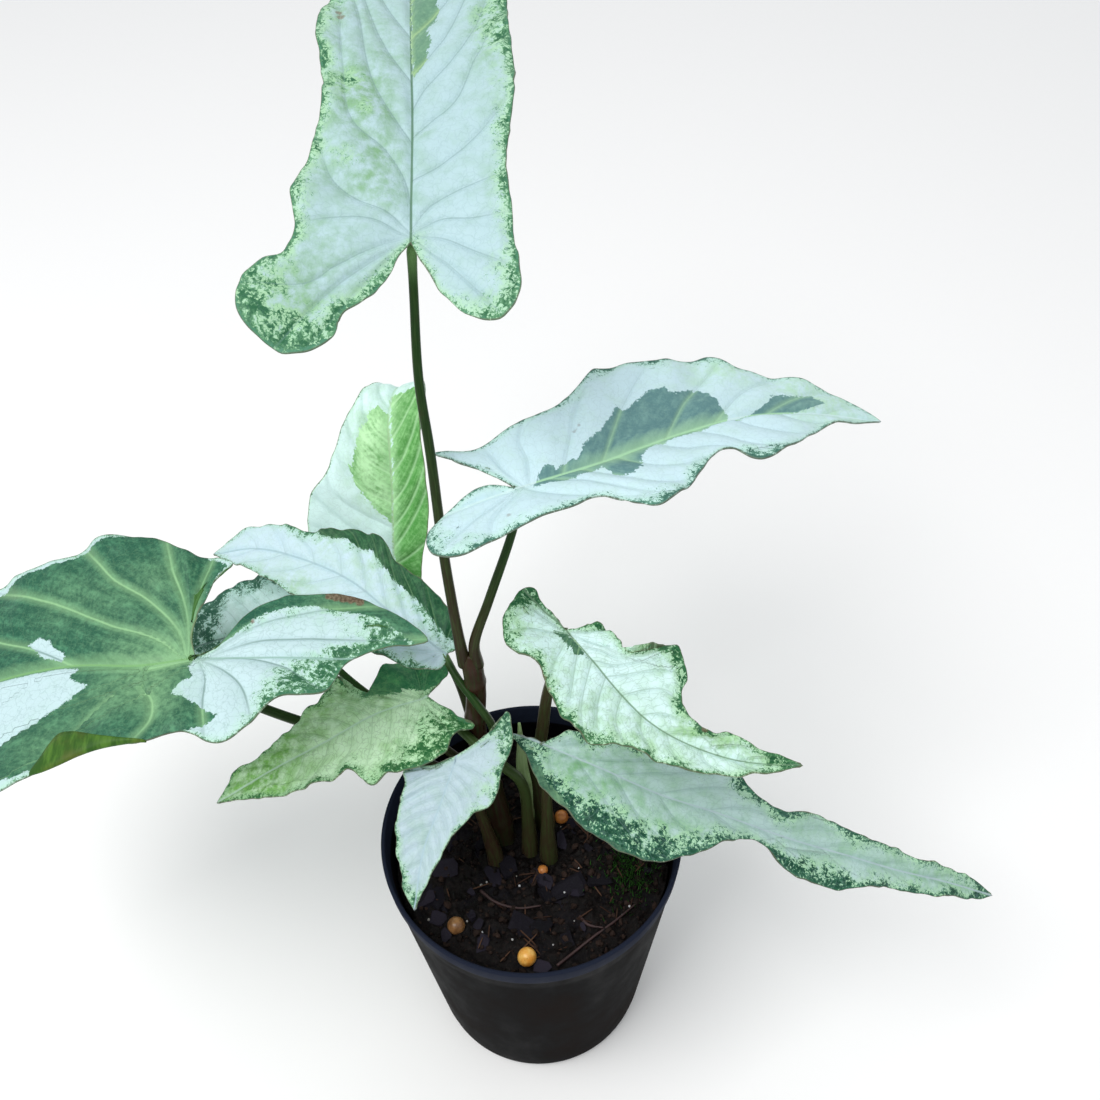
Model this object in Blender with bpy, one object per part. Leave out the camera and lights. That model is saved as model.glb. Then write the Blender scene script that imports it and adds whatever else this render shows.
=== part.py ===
"""Potted three kings syngonium: a young arrowhead plant in a black nursery pot.

Every length is in millimetres until it is scaled to metres on the mesh.
The origin is the middle of the pot's flat underside, Z is up, and the
front of the plant faces -Y.
"""

import math
import random

import bmesh
import bpy
from mathutils import Matrix, Vector, noise

MM = 0.001

# pot
RIM_RADIUS = 40.0
POT_HEIGHT = 86.0
BASE_RADIUS = 31.3
WALL = 1.1
FLOOR = 1.6
BAND_HEIGHT = 5.6
BAND_STEP = 0.8
FOOT_BEVEL = 2.0
LIP_ROUND = 0.4
POT_SIDES = 64
DRAIN_HOLES = 6
DRAIN_RADIUS = 3.6
DRAIN_CIRCLE = 19.0

# soil
SOIL_LEVEL = 75.0
SOIL_LUMP = 1.6
SOIL_RINGS = 9
SOIL_SIDES = POT_SIDES
CHIP_COUNT = 22
CHIP_SEED = 11
CHIP_LENGTHS = (2.2, 4.6)
CHIP_WIDTH_SHARE = 0.62
CHIP_THICKNESS = 2.2
CHIP_LIFT = 0.35
CHIP_TILT = 0.35
CHIP_SPREAD = 33.0
CHIP_SPACING = 5.4

# room left between pieces that touch
GAP = 0.3

# blades and tubes
BLADE_THICKNESS = 0.64
ROWS_ACROSS = 3
STEP_ALONG = 5.6
CURVE_PARTS = 12
TUBE_STEP = 6.0
STEM_SIDES = 10
WAVES_PER_MARGIN = 7
WAVE_PHASE = {"left": 0.7, "right": 2.9}
NOTCH = (-1.5, 0.0)

STEM_RADII = (3.4, 3.3, 3.0, 2.9, 2.7, 2.6)
STEM_ROUTE = (
    (-7.5, 3.5, 66), (-8.5, 4.8, 82), (-11, 10, 97), (-13.3, 14.8, 112),
    (-12.4, 16.5, 126), (-12.8, 17, 140),
)

# Blades, one entry each.
# joint: where the petiole meets the blade. heading and rise: direction of the midrib in degrees.
# bank: roll about the midrib. arch and hook: droop in milliradians per millimetre, hook from hook_at on.
# fold: lift of each half above the midrib in degrees. twist: degrees per 100 mm.
# A side runs from the tip down the margin, an outer and an inner edge go round the back lobe.
BLADES = {
    "a": dict(
        joint=(-18.6, 47.6, 236), heading=91, rise=20, bank=0, arch=4, fold=10, wave=0.9,
        tip=(112, 2),
        left_side=((101, 9), (89, 16.5), (74, 21), (60, 22), (47, 20), (34, 19), (20, 21), (9, 23.5)),
        left_outer=((0, 23), (-5.5, 25), (-7, 28.5), (-13, 32.2), (-20, 32), (-25.5, 27)),
        left_inner=((-27, 20.5), (-24, 15), (-18.5, 13), (-15.5, 9), (-11, 5), (-5, 2.5)),
        left_core=(-18, 20),
        right_side=((101, -7), (89, -15.5), (73, -21), (58, -21.5), (42, -22.5), (29, -21.5), (17, -20)),
        right_outer=((4, -20.5), (-8, -21.5), (-16.5, -21.5), (-21.5, -17.5)),
        right_inner=((-20, -12), (-15, -7), (-10, -4), (-5, -1.5)),
        right_core=(-14, -13),
        midrib=((0, 0), (30, 0), (60, 1), (90, 2), (112, 2)),
    ),
    "b": dict(
        joint=(1.4, 29.2, 184), heading=20, rise=3, bank=0, arch=4.5, fold=10, wave=0.8,
        tip=(101, 4.5),
        left_side=((94, 11.5), (86, 16), (79, 19.3), (70, 21.5), (63, 24.8), (58.5, 27.8), (50, 27), (40, 28),
                   (31, 28.3), (23, 23.5), (14, 18.8)),
        left_outer=((6, 17), (-1, 15), (-8, 15), (-15, 16.2)),
        left_inner=((-12, 13), (-7, 8), (-3, 2.8)),
        left_core=(-5, 8),
        right_side=((92, 3), (81, 1), (72, -3.5), (62, -9), (54, -11), (49, -6.5), (43, -7.5), (38, -12),
                    (30, -18), (24, -20.5), (20, -17), (14, -11.5)),
        right_outer=((6, -13), (-4, -13), (-12, -14), (-19, -15.5), (-24, -12)),
        right_inner=((-24.3, -7), (-20.5, -1.5), (-14, 2), (-8, 3), (-3.5, 1.6)),
        right_core=(-17, -6.5),
        midrib=((0, 0), (20, 0.5), (40, 4), (62, 7.5), (82, 7), (101, 4.5)),
    ),
    "c": dict(
        joint=(-37.1, 65, 120.2), heading=95, rise=70, bank=-10, arch=5, hook=80, hook_at=38, fold=14,
        wave=0.4,
        tip=(82, -5),
        left_side=((74, -2), (65, 0), (56, 3), (49, 6), (42, 9.3), (35, 12.7), (29, 15.5), (23, 20.3),
                   (15, 22)),
        left_outer=((5, 21.5), (-5, 19), (-13, 14)),
        left_inner=((-12, 8.5), (-8, 4), (-4, 1.5)),
        left_core=(-8, 9),
        right_side=((74, -7.5), (65, -9.5), (56, -10.5), (46, -11.5), (34, -12), (24, -12.6), (16, -12.2),
                    (9, -10.8)),
        right_outer=((3, -9), (-4, -8), (-10, -7.5)),
        right_inner=((-10, -4.5), (-7, -2), (-4, -0.8)),
        right_core=(-6.5, -5),
        midrib=((0, 0), (24, -2), (44, -2.5), (82, -5)),
    ),
    "d": dict(
        joint=(-20.5, 23.1, 134), heading=146, rise=14, bank=-16, arch=8, fold=6, wave=0.8,
        tip=(80, 9),
        left_side=((70, 9), (60, 8.5), (50, 8.5), (38, 9.5), (26, 11), (16, 10.5)),
        left_outer=((9, 9.5), (4, 8), (-1, 5.5)),
        left_inner=((-2.5, 4), (-2.5, 2)),
        left_core=(0.8, 2.4),
        right_side=((77, 2), (72, -3), (63, -7), (53, -8.7), (47, -11.5), (40, -15), (32, -16), (24, -13),
                    (15, -12)),
        right_outer=((8, -11), (2, -8), (-1.5, -5)),
        right_inner=((-2.5, -3.5), (-2.5, -2)),
        right_core=(0.6, -2.4),
        midrib=((0, 0), (17, -1), (32, -2.5), (50, -1), (67, 2.5), (80, 9)),
    ),
    "e": dict(
        joint=(-77, 10.6, 150), heading=178, rise=-3, bank=-4, arch=8, back=3, fold=8, twist=-8, wave=0.9,
        tip=(101, -4),
        left_side=((93, 8), (79, 20), (63, 29), (49, 34), (37, 33), (29, 28), (24, 22.8), (14, 22.5),
                   (6, 23.8)),
        left_outer=((-3, 21), (-12, 24), (-18, 20), (-24, 12.5), (-32, 10.5), (-37, 1), (-45, -3), (-55, -5)),
        left_inner=((-51, -9), (-41, -15.5), (-30, -17), (-20, -16), (-11, -10.5), (-6, -3)),
        left_core=(-43, -8.5),
        right_side=((93, -13), (80, -23), (68, -29), (57, -30.8), (46, -31.7), (35, -33), (27, -35.5),
                    (17, -34.8), (10, -32)),
        right_outer=((4.5, -28.5), (-1, -27.3), (-6.5, -25.2)),
        right_inner=((-3, -20.8), (-1.2, -16), (0.3, -11), (0.4, -5)),
        right_core=(2, -17),
        midrib=((0, 0), (12, 1), (30, -1.5), (54, -3), (80, -4), (101, -4)),
    ),
    "f": dict(
        joint=(-61.7, 46.5, 118), heading=188, rise=-4, bank=0, arch=6, fold=6, wave=0.6,
        tip=(48, 0),
        left_side=((40, 7), (30, 12), (18, 14), (7, 14)),
        left_outer=((-1, 13), (-8, 10)),
        left_inner=((-8.5, 6), (-5, 2.5)),
        left_core=(-4.5, 6.5),
        right_side=((40, -7), (30, -14), (22, -16.5), (12, -19.5), (4, -16.5)),
        right_outer=((-2, -13.5), (-8, -10)),
        right_inner=((-8.5, -6), (-5, -2.5)),
        right_core=(-4.5, -6.5),
        midrib=((0, 0), (24, -1.5), (48, 0)),
    ),
    "h": dict(
        joint=(-26.8, 19.7, 119), heading=208, rise=4, bank=0, arch=8, fold=4, wave=0.8,
        tip=(57, -3),
        left_side=((49, 2), (41, 6.5), (35.5, 8.8), (29, 9.8), (24.5, 11), (21.5, 17), (14, 18)),
        left_outer=((8, 19.5), (3, 19), (-1.5, 15), (-8, 14)),
        left_inner=((-5.5, 10), (-3.5, 4.5)),
        left_core=(-2.5, 9.5),
        right_side=((50, -7), (42, -7.5), (36, -8.5), (30, -10.5), (23, -13), (17, -16.5), (15, -11),
                    (13, -8.3)),
        right_outer=((10, -9.7), (4, -13.5), (-3, -12.5), (-8, -9.5)),
        right_inner=((-9.5, -5.5), (-6.5, -2.5), (-3.5, -1)),
        right_core=(-3, -7),
        midrib=((0, 0), (12, -1.5), (27, -1), (42, -2), (57, -3)),
    ),
    "i": dict(
        joint=(-17.8, 1.2, 118), heading=250, rise=-26, bank=0, arch=7, fold=6, wave=0.5,
        tip=(37, 0),
        left_side=((30, 1.5), (22, 3.5), (16, 5.5), (11, 8.5), (8, 12), (3.5, 13)),
        left_outer=((-2, 12.3), (-7.5, 13), (-12, 11.5), (-15, 9)),
        left_inner=((-10, 7), (-6, 4)),
        left_core=(-6, 6.5),
        right_side=((34, -3), (28, -6.3), (21, -9), (14, -10.5), (9, -10.5)),
        right_outer=((6.5, -11.3), (4.8, -12)),
        right_inner=((3.6, -9), (2, -4.5)),
        right_core=(4, -5.5),
        midrib=((0, 0), (11, -0.5), (23, -1.5), (37, 0)),
    ),
    "j": dict(
        joint=(11.3, 14.3, 150), heading=-48, rise=-8, bank=0, arch=-2, fold=5, twist=6, wave=0.9,
        tip=(59, 13),
        left_side=((54, 11.5), (48, 9), (42.5, 7), (37, 4.6), (32, 4.5), (28.7, 8), (25, 12.8), (19, 16),
                   (15.8, 11.5), (12.5, 6.8)),
        left_outer=((8, 7.5), (3.5, 7)),
        left_inner=((1, 4.3), (-0.7, 1.7)),
        left_core=(2.2, 3),
        right_side=((56, 7.5), (51, 1.5), (46, -3.5), (40, -7.3), (33, -10), (28, -12.8), (23, -16.5),
                    (16, -17.3), (8.5, -14.5)),
        right_outer=((2, -12), (-5, -13.5), (-11, -11.5), (-15, -6), (-16.2, 0)),
        right_inner=((-14, 2), (-8.5, 1), (-4.5, 0.4)),
        right_core=(-11.5, -4.5),
        midrib=((0, 0), (9, -1), (18, -2.3), (28, -2.8), (37, -1), (48, 4), (59, 13)),
    ),
    "k": dict(
        joint=(5.2, 6.7, 115), heading=-26, rise=-2, bank=14, arch=6, fold=8, wave=0.9,
        tip=(129, 21),
        left_side=((118, 21.3), (106, 18.7), (92, 16), (80, 14), (69, 13.5), (61.5, 10.5), (54, 10),
                   (48, 12.8), (36, 12.5), (24, 11), (13, 7.5)),
        left_outer=((7.5, 6.5), (3.2, 5.5)),
        left_inner=((0.8, 3.2), (-0.7, 1.3)),
        left_core=(2.2, 2.5),
        right_side=((123, 17), (114, 13.7), (103, 8.8), (92, 5.5), (83, 0.3), (74, -3), (66, -3.5), (57, 0),
                    (50, -3), (44, -9.5), (36, -15.5), (27, -18), (18, -16), (9, -13)),
        right_outer=((2, -10), (-4, -4.5), (-10, -0.5)),
        right_inner=((-7, -0.2), (-4, 0.6)),
        right_core=(-3.5, -2.5),
        midrib=((0, 0), (15, 0), (30, 0), (45, 2), (64, 4.5), (80, 8), (95, 11.5), (112, 16.5), (129, 21)),
    ),
}

# Petioles: points below the blade, the thickness at the base and at the blade.
PETIOLES = {
    "a": dict(route=((-14.5, 17.2, 136), (-15.2, 17.9, 146), (-17, 24.4, 166), (-18.3, 33, 192),
                     (-19.4, 38, 207.5), (-18.9, 44.1, 225.5)), base=1.35, top=0.95),
    "b": dict(route=((-11.2, 16.8, 136), (-11.6, 17.2, 143.5), (-7.4, 20.8, 155.5), (-1, 26, 173.5)),
              base=1.3, top=0.95),
    "c": dict(route=((-12, 11.5, 99), (-15.2, 22, 105), (-19, 33, 108.5), (-25.5, 45, 112.5),
                     (-32.5, 57, 116.5)),
              base=1.2, top=0.9),
    "d": dict(route=((-9.6, 8.8, 95), (-8.2, 9.8, 104), (-8.2, 10.4, 112), (-8.9, 10.2, 120.8),
                     (-11.9, 12, 126.2), (-16.8, 17.6, 130)), base=1.2, top=1.0),
    "e": dict(route=((-9.6, 7, 91), (-22, 12, 96), (-42, 17.5, 103.5), (-59.8, 20.6, 109),
                     (-69.8, 21.8, 114.4), (-76.5, 19, 125), (-78.5, 14, 138)), base=1.5, top=1.2),
    "f": dict(route=((-10.5, 9, 94), (-20, 15.5, 98.5), (-32, 23.5, 102.5), (-43.1, 30.5, 106.3),
                     (-50.3, 35.5, 109.8), (-57, 41.5, 113.5)), base=1.2, top=0.9),
    "h": dict(route=((-0.8, -0.8, 66), (-0.6, 0.3, 78), (-0.9, 2.6, 90), (-1.2, 4, 98), (-2.8, 4.6, 103.9),
                     (-5.9, 5.2, 108), (-11.4, 8.2, 111.6), (-17.2, 13, 114.4), (-23, 17.2, 116.4)),
              base=1.7, top=1.1),
    "i": dict(route=((-10.5, -3.8, 66), (-9.9, -2.9, 76), (-11.3, -1.7, 86), (-13.2, -0.6, 98),
                     (-16, 0.6, 110)),
              base=1.7, top=1.1),
    "j": dict(route=((4.2, 6.4, 66), (3.5, 8, 78), (1.6, 11.5, 86.9), (1.1, 14.5, 96.4), (3.1, 15.5, 103.7),
                     (5.9, 15, 128), (9.8, 14.6, 143.5)), base=2.1, top=1.2),
    "k": dict(route=((4.6, -2.4, 66), (4.4, -1.6, 80), (4.4, 1, 95), (4.8, 4.2, 107)), base=1.9, top=1.2),
}

# Where stems stand in the mix, kept free of chips.
STEM_FEET = [Vector((-8, 4, 0)), Vector((3.8, 7.5, 0)), Vector((-10, -3, 0)), Vector((4.5, -2, 0)),
             Vector((-0.7, 0, 0)), Vector((-0.9, 5, 0))]

# New leaf still rolled up in its sheath.
SPIKE_ROUTE = ((-0.9, 4.6, 66), (-0.9, 5, 80), (-1.1, 7.2, 94), (-1.7, 9.2, 100), (-1.9, 11.6, 108),
               (-2, 13.2, 116))
SPIKE_RADII = (1.6, 1.6, 1.7, 1.9, 1.3, 0.35)

# Slow-release feed beads: place, radius and shade.
BEADS = {
    "bead_front": ((-1.8, -30.6), 2.5, "yellow"),
    "bead_left": ((-20.2, -21.3), 2.4, "brown"),
    "bead_middle": ((8.1, 8.9), 2.0, "orange"),
    "bead_inner": ((2.6, -6.6), 1.5, "orange"),
}


def material(name, colour, roughness, metallic=0.0):
    """A Principled material with the part's own colour."""
    made = bpy.data.materials.new(name)
    made.use_nodes = True
    shader = made.node_tree.nodes["Principled BSDF"]
    shader.inputs["Base Color"].default_value = (*colour, 1.0)
    shader.inputs["Roughness"].default_value = roughness
    shader.inputs["Metallic"].default_value = metallic
    return made


def add_object(name, mesh, paint=None, smooth=True):
    """Link a mesh to the scene as one named sub-part."""
    made = bpy.data.objects.new(name, mesh)
    bpy.context.scene.collection.objects.link(made)
    if paint is not None:
        mesh.materials.append(paint)
    if smooth:
        mesh.shade_smooth()
        mesh.set_sharp_from_angle(angle=math.radians(40))
    return made


def hide_helper(helper):
    """Keep a cutter out of the model."""
    helper.hide_render = True
    helper.display_type = "WIRE"


def cut(target, cutter):
    """Subtract the cutter from the target."""
    hide_helper(cutter)
    modifier = target.modifiers.new("cut", "BOOLEAN")
    modifier.operation = "DIFFERENCE"
    modifier.solver = "EXACT"
    modifier.object = cutter


def catmull(points, parts=CURVE_PARTS):
    """A centripetal Catmull-Rom curve, with a fixed number of parts between its points."""
    knots = [Vector(point) for point in points]
    padded = [knots[0] * 2 - knots[1]] + knots + [knots[-1] * 2 - knots[-2]]
    dense = []
    for index in range(1, len(padded) - 2):
        p0, p1, p2, p3 = padded[index - 1:index + 3]
        t1 = (p1 - p0).length ** 0.5
        t2 = t1 + (p2 - p1).length ** 0.5
        t3 = t2 + (p3 - p2).length ** 0.5
        for part in range(parts):
            t = t1 + (t2 - t1) * part / parts
            a1 = p0.lerp(p1, t / t1)
            a2 = p1.lerp(p2, (t - t1) / (t2 - t1))
            a3 = p2.lerp(p3, (t - t2) / (t3 - t2))
            b1 = a1.lerp(a2, t / t2)
            b2 = a2.lerp(a3, (t - t1) / (t3 - t1))
            dense.append(b1.lerp(b2, (t - t1) / (t2 - t1)))
    dense.append(knots[-1])
    return dense


def even_points(dense, count):
    """Resample a polyline to count points at equal distances."""
    lengths = [0.0]
    for before, after in zip(dense, dense[1:]):
        lengths.append(lengths[-1] + (after - before).length)
    found = []
    place = 0
    for step in range(count):
        wanted = lengths[-1] * step / (count - 1)
        while place < len(dense) - 2 and lengths[place + 1] < wanted:
            place += 1
        span = lengths[place + 1] - lengths[place]
        share = 0.0 if span == 0 else (wanted - lengths[place]) / span
        found.append(dense[place].lerp(dense[place + 1], share))
    return found


class Blade:
    """A flat leaf outline bent into its place on the plant."""

    def __init__(self, spec):
        self.spec = spec
        heading, rise, bank = (math.radians(spec[key]) for key in ("heading", "rise", "bank"))
        self.joint = Vector(spec["joint"])
        self.along = Vector((
            math.cos(rise) * math.cos(heading), math.cos(rise) * math.sin(heading), math.sin(rise)))
        level = Vector((-math.sin(heading), math.cos(heading), 0))
        upward = self.along.cross(level)
        self.across = level * math.cos(bank) + upward * math.sin(bank)
        self.normal = upward * math.cos(bank) - level * math.sin(bank)
        self.fold = math.radians(spec["fold"])
        self.twist = math.radians(spec.get("twist", 0)) / 100
        self.midrib = catmull(spec["midrib"])
        self.spine = self.bent_spine()

    def lean(self, x):
        """How far the midrib has turned down at x, in radians."""
        spec = self.spec
        if x < 0:
            return spec.get("back", spec["arch"]) * x / 1000
        hook = spec.get("hook", 0) * max(0.0, x - spec.get("hook_at", 0))
        return (spec["arch"] * x + hook) / 1000

    def bent_spine(self):
        """Forward and downward offsets of the midrib for every millimetre of its length."""
        spine = {0: (0.0, 0.0)}
        for step in range(1, 141):
            forward, down = spine[step - 1]
            turn = self.lean(step - 0.5)
            spine[step] = (forward + math.cos(turn), down - math.sin(turn))
        for step in range(-1, -71, -1):
            forward, down = spine[step + 1]
            turn = self.lean(step + 0.5)
            spine[step] = (forward - math.cos(turn), down + math.sin(turn))
        return spine

    def midrib_offset(self, x):
        """Sideways place of the midrib at x."""
        if x <= 0:
            return 0.0
        for before, after in zip(self.midrib, self.midrib[1:]):
            if after.x >= x:
                return before.y + (after.y - before.y) * (x - before.x) / (after.x - before.x)
        return self.midrib[-1].y

    def place(self, x, y, lift=0.0):
        """The point of the bent blade, in millimetres, for flat coordinates x and y."""
        step = math.floor(x)
        share = x - step
        forward = self.spine[step][0] * (1 - share) + self.spine[step + 1][0] * share
        down = self.spine[step][1] * (1 - share) + self.spine[step + 1][1] * share
        turn = self.lean(x)
        offset = y - self.midrib_offset(x)
        height = (math.hypot(offset, 1.0) - 1.0) * math.sin(self.fold) + lift
        sideways = y - offset * (1 - math.cos(self.fold))
        roll = self.twist * x
        level = sideways * math.cos(roll) - height * math.sin(roll)
        height = sideways * math.sin(roll) + height * math.cos(roll)
        return (self.joint
                + self.along * (forward + height * math.sin(turn))
                + self.across * level
                + self.normal * (down + height * math.cos(turn)))


def blade_half(blade, side):
    """Rows of flat points from the ribs to the margin of one half of a blade."""
    spec = blade.spec
    core = Vector(spec[side + "_core"])
    joint = Vector((0.0, 0.0))
    notch = Vector(NOTCH)
    outline = [Vector(spec["tip"])]
    outline += [Vector(point) for point in spec[side + "_side"]]
    shoulder = len(outline) - 1
    outline += [Vector(point) for point in spec[side + "_outer"]]
    lobe_end = len(outline) - 1
    outline += [Vector(point) for point in spec[side + "_inner"]] + [notch]
    dense = catmull(outline)
    marks = (0, shoulder * CURVE_PARTS, lobe_end * CURVE_PARTS, len(dense) - 1)
    stretches = [dense[start:end + 1] for start, end in zip(marks, marks[1:])]
    tip_steps = max(8, round(spec["tip"][0] / STEP_ALONG))
    lobe_steps = max(3, round((outline[lobe_end] - joint).length / STEP_ALONG))
    ribs = (list(reversed(blade.midrib)), [joint, core], [core, joint])
    rows = []
    for rib, edge, steps in zip(ribs, stretches, (tip_steps, lobe_steps, lobe_steps)):
        pairs = list(zip(even_points(rib, steps + 1), even_points(edge, steps + 1)))
        rows += pairs if not rows else pairs[1:]
    return rows


def wave_lift(spec, side, along, across):
    """Height of the ruffled margin above the smooth blade."""
    phase = WAVE_PHASE[side]
    angle = WAVES_PER_MARGIN * math.tau * along
    ripple = math.sin(angle + phase) + 0.5 * math.sin(1.7 * angle + 2 * phase)
    ends = math.sin(math.pi * along) ** 0.5
    return spec["wave"] * ripple * across ** 2 * ends


def add_blade(letter, spec, paint):
    """One leaf blade: two halves that share the midrib, given an even thickness."""
    blade = Blade(spec)
    mesh = bpy.data.meshes.new("leaf_" + letter)
    form = bmesh.new()
    for side in ("left", "right"):
        rows = blade_half(blade, side)
        known = set(form.verts)
        bmesh.ops.create_grid(form, x_segments=len(rows) - 1, y_segments=ROWS_ACROSS, size=1.0)
        for vert in set(form.verts) - known:
            row = round((vert.co.x + 1) / 2 * (len(rows) - 1))
            across = (vert.co.y + 1) / 2
            rib, edge = rows[row]
            flat = rib.lerp(edge, across)
            lift = wave_lift(spec, side, row / (len(rows) - 1), across)
            vert.co = blade.place(flat.x, flat.y, lift) * MM
    bmesh.ops.remove_doubles(form, verts=form.verts, dist=0.05 * MM)
    bmesh.ops.dissolve_degenerate(form, edges=form.edges, dist=0.02 * MM)
    bmesh.ops.recalc_face_normals(form, faces=form.faces)
    bmesh.ops.triangulate(form, faces=form.faces)
    form.to_mesh(mesh)
    form.free()
    made = add_object("leaf_" + letter, mesh, paint)
    solid = made.modifiers.new("thickness", "SOLIDIFY")
    solid.thickness = BLADE_THICKNESS * MM
    solid.offset = 0.0
    return made


def tube_mesh(name, route, radii, sides=8):
    """A closed tapered tube along a smooth route, as a mesh."""
    length = sum((Vector(b) - Vector(a)).length for a, b in zip(route, route[1:]))
    count = max(5, round(length / TUBE_STEP) + 1)
    points = even_points(catmull(route), count)
    widths = even_points([Vector((place, radius)) for place, radius in enumerate(radii)], count)
    curve = bpy.data.curves.new(name, "CURVE")
    curve.dimensions = "3D"
    curve.bevel_depth = MM
    curve.bevel_resolution = sides // 2 - 2
    curve.use_fill_caps = True
    spline = curve.splines.new("POLY")
    spline.points.add(count - 1)
    for knot, point, width in zip(spline.points, points, widths):
        knot.co = (*(point * MM), 1.0)
        knot.radius = width.y
    holder = bpy.data.objects.new(name, curve)
    bpy.context.scene.collection.objects.link(holder)
    bpy.context.view_layer.update()
    graph = bpy.context.evaluated_depsgraph_get()
    mesh = bpy.data.meshes.new_from_object(holder.evaluated_get(graph))
    bpy.data.objects.remove(holder)
    bpy.data.curves.remove(curve)
    form = bmesh.new()
    form.from_mesh(mesh)
    bmesh.ops.remove_doubles(form, verts=form.verts, dist=0.001 * MM)
    bmesh.ops.recalc_face_normals(form, faces=form.faces)
    form.to_mesh(mesh)
    form.free()
    return mesh


def petiole_route(letter):
    """A petiole's route, carried on to just short of its blade, on the side that it comes from."""
    blade = Blade(BLADES[letter])
    spec = PETIOLES[letter]
    last = Vector(spec["route"][-1])
    slope = (blade.joint - last).normalized()
    tilt = math.sqrt(max(0.0, 1 - slope.dot(blade.normal) ** 2))
    drop = BLADE_THICKNESS / 2 + GAP + spec["top"] * tilt
    near_side = -1 if slope.dot(blade.normal) > 0 else 1
    top = blade.joint + blade.normal * drop * near_side
    return tuple(spec["route"]) + (tuple(top),)


def build_pot(paint):
    """A tapered pot turned from one profile, with a rim band and drain holes."""
    slope = (RIM_RADIUS - BAND_STEP - BASE_RADIUS) / (POT_HEIGHT - BAND_HEIGHT)
    under_band = POT_HEIGHT - BAND_HEIGHT
    profile = (
        (0, 0), (BASE_RADIUS - FOOT_BEVEL, 0), (BASE_RADIUS - FOOT_BEVEL * 0.3, FOOT_BEVEL * 0.3),
        (BASE_RADIUS, FOOT_BEVEL), (BASE_RADIUS + slope * under_band, under_band),
        (RIM_RADIUS - LIP_ROUND, under_band + LIP_ROUND * 2), (RIM_RADIUS, POT_HEIGHT - LIP_ROUND),
        (RIM_RADIUS - LIP_ROUND, POT_HEIGHT), (RIM_RADIUS - WALL, POT_HEIGHT - LIP_ROUND),
        (inner_radius(under_band), under_band), (inner_radius(FLOOR + FOOT_BEVEL), FLOOR + FOOT_BEVEL),
        (inner_radius(FLOOR) - FOOT_BEVEL, FLOOR), (0, FLOOR),
    )
    mesh = bpy.data.meshes.new("pot")
    form = bmesh.new()
    chain = [form.verts.new((radius * MM, 0, height * MM)) for radius, height in profile]
    edges = [form.edges.new(pair) for pair in zip(chain, chain[1:])]
    bmesh.ops.spin(form, geom=chain + edges, axis=(0, 0, 1), cent=(0, 0, 0), angle=math.tau,
                   steps=POT_SIDES, use_merge=True)
    bmesh.ops.remove_doubles(form, verts=form.verts, dist=0.01 * MM)
    bmesh.ops.recalc_face_normals(form, faces=form.faces)
    form.to_mesh(mesh)
    form.free()
    pot = add_object("pot", mesh, paint)
    cut(pot, drain_cutter())
    return pot


def inner_radius(height):
    """Radius of the pot's inner wall at a height."""
    outer = BASE_RADIUS + (RIM_RADIUS - BAND_STEP - BASE_RADIUS) * height / (POT_HEIGHT - BAND_HEIGHT)
    return min(outer, RIM_RADIUS - BAND_STEP) - WALL


def drain_cutter():
    """Round plugs where water leaves the pot, in a ring round a solid middle."""
    mesh = bpy.data.meshes.new("drain_cutter")
    form = bmesh.new()
    for index in range(DRAIN_HOLES):
        angle = math.tau * (index + 0.5) / DRAIN_HOLES
        place = Vector((math.cos(angle), math.sin(angle), 0)) * DRAIN_CIRCLE * MM
        bmesh.ops.create_cone(form, cap_ends=True, segments=14, radius1=DRAIN_RADIUS * MM,
                              radius2=DRAIN_RADIUS * MM, depth=4 * FLOOR * MM,
                              matrix=Matrix.Translation(place))
    form.to_mesh(mesh)
    form.free()
    return add_object("drain_cutter", mesh, smooth=False)


def soil_height(x, y):
    """Lumpy top of the potting mix, a little lower at the wall."""
    lump = noise.noise(Vector((x * 0.11, y * 0.11, 3.7))) * SOIL_LUMP
    crumb = noise.noise(Vector((x * 0.31, y * 0.31, 8.1))) * SOIL_LUMP * 0.6
    edge = max(0.0, math.hypot(x, y) - 30) * 0.12
    return SOIL_LEVEL + lump + crumb - edge


def build_soil(paint):
    """The potting mix that fills the pot, with chips of bark and holes for the stems."""
    mesh = bpy.data.meshes.new("soil")
    form = bmesh.new()
    top_radius = inner_radius(SOIL_LEVEL - 2 * SOIL_LUMP) - GAP
    centre = form.verts.new((0, 0, 0))
    spoke = [centre]
    for ring in range(1, SOIL_RINGS + 1):
        spoke.append(form.verts.new((top_radius * MM * ring / SOIL_RINGS, 0, 0)))
    edges = [form.edges.new(pair) for pair in zip(spoke, spoke[1:])]
    bmesh.ops.spin(form, geom=spoke + edges, axis=(0, 0, 1), cent=(0, 0, 0), angle=math.tau,
                   steps=SOIL_SIDES, use_merge=True)
    bmesh.ops.remove_doubles(form, verts=form.verts, dist=0.01 * MM)
    for vert in form.verts:
        vert.co.z = soil_height(vert.co.x / MM, vert.co.y / MM) * MM
    rim = [edge for edge in form.edges if edge.is_boundary]
    for height, narrower in ((FLOOR + FOOT_BEVEL, 0), (FLOOR + GAP, FOOT_BEVEL)):
        grown = bmesh.ops.extrude_edge_only(form, edges=rim)["geom"]
        rim = [item for item in grown if isinstance(item, bmesh.types.BMEdge) and item.is_boundary]
        radius = inner_radius(height) - GAP - narrower
        for vert in {vert for edge in rim for vert in edge.verts}:
            flat = Vector((vert.co.x, vert.co.y, 0)).normalized() * radius * MM
            vert.co = (flat.x, flat.y, height * MM)
    bmesh.ops.contextual_create(form, geom=rim)
    bmesh.ops.recalc_face_normals(form, faces=form.faces)
    bmesh.ops.triangulate(form, faces=form.faces)
    form.to_mesh(mesh)
    form.free()
    soil = add_object("soil", mesh, paint, smooth=False)
    join_chips(soil)
    return soil


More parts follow.
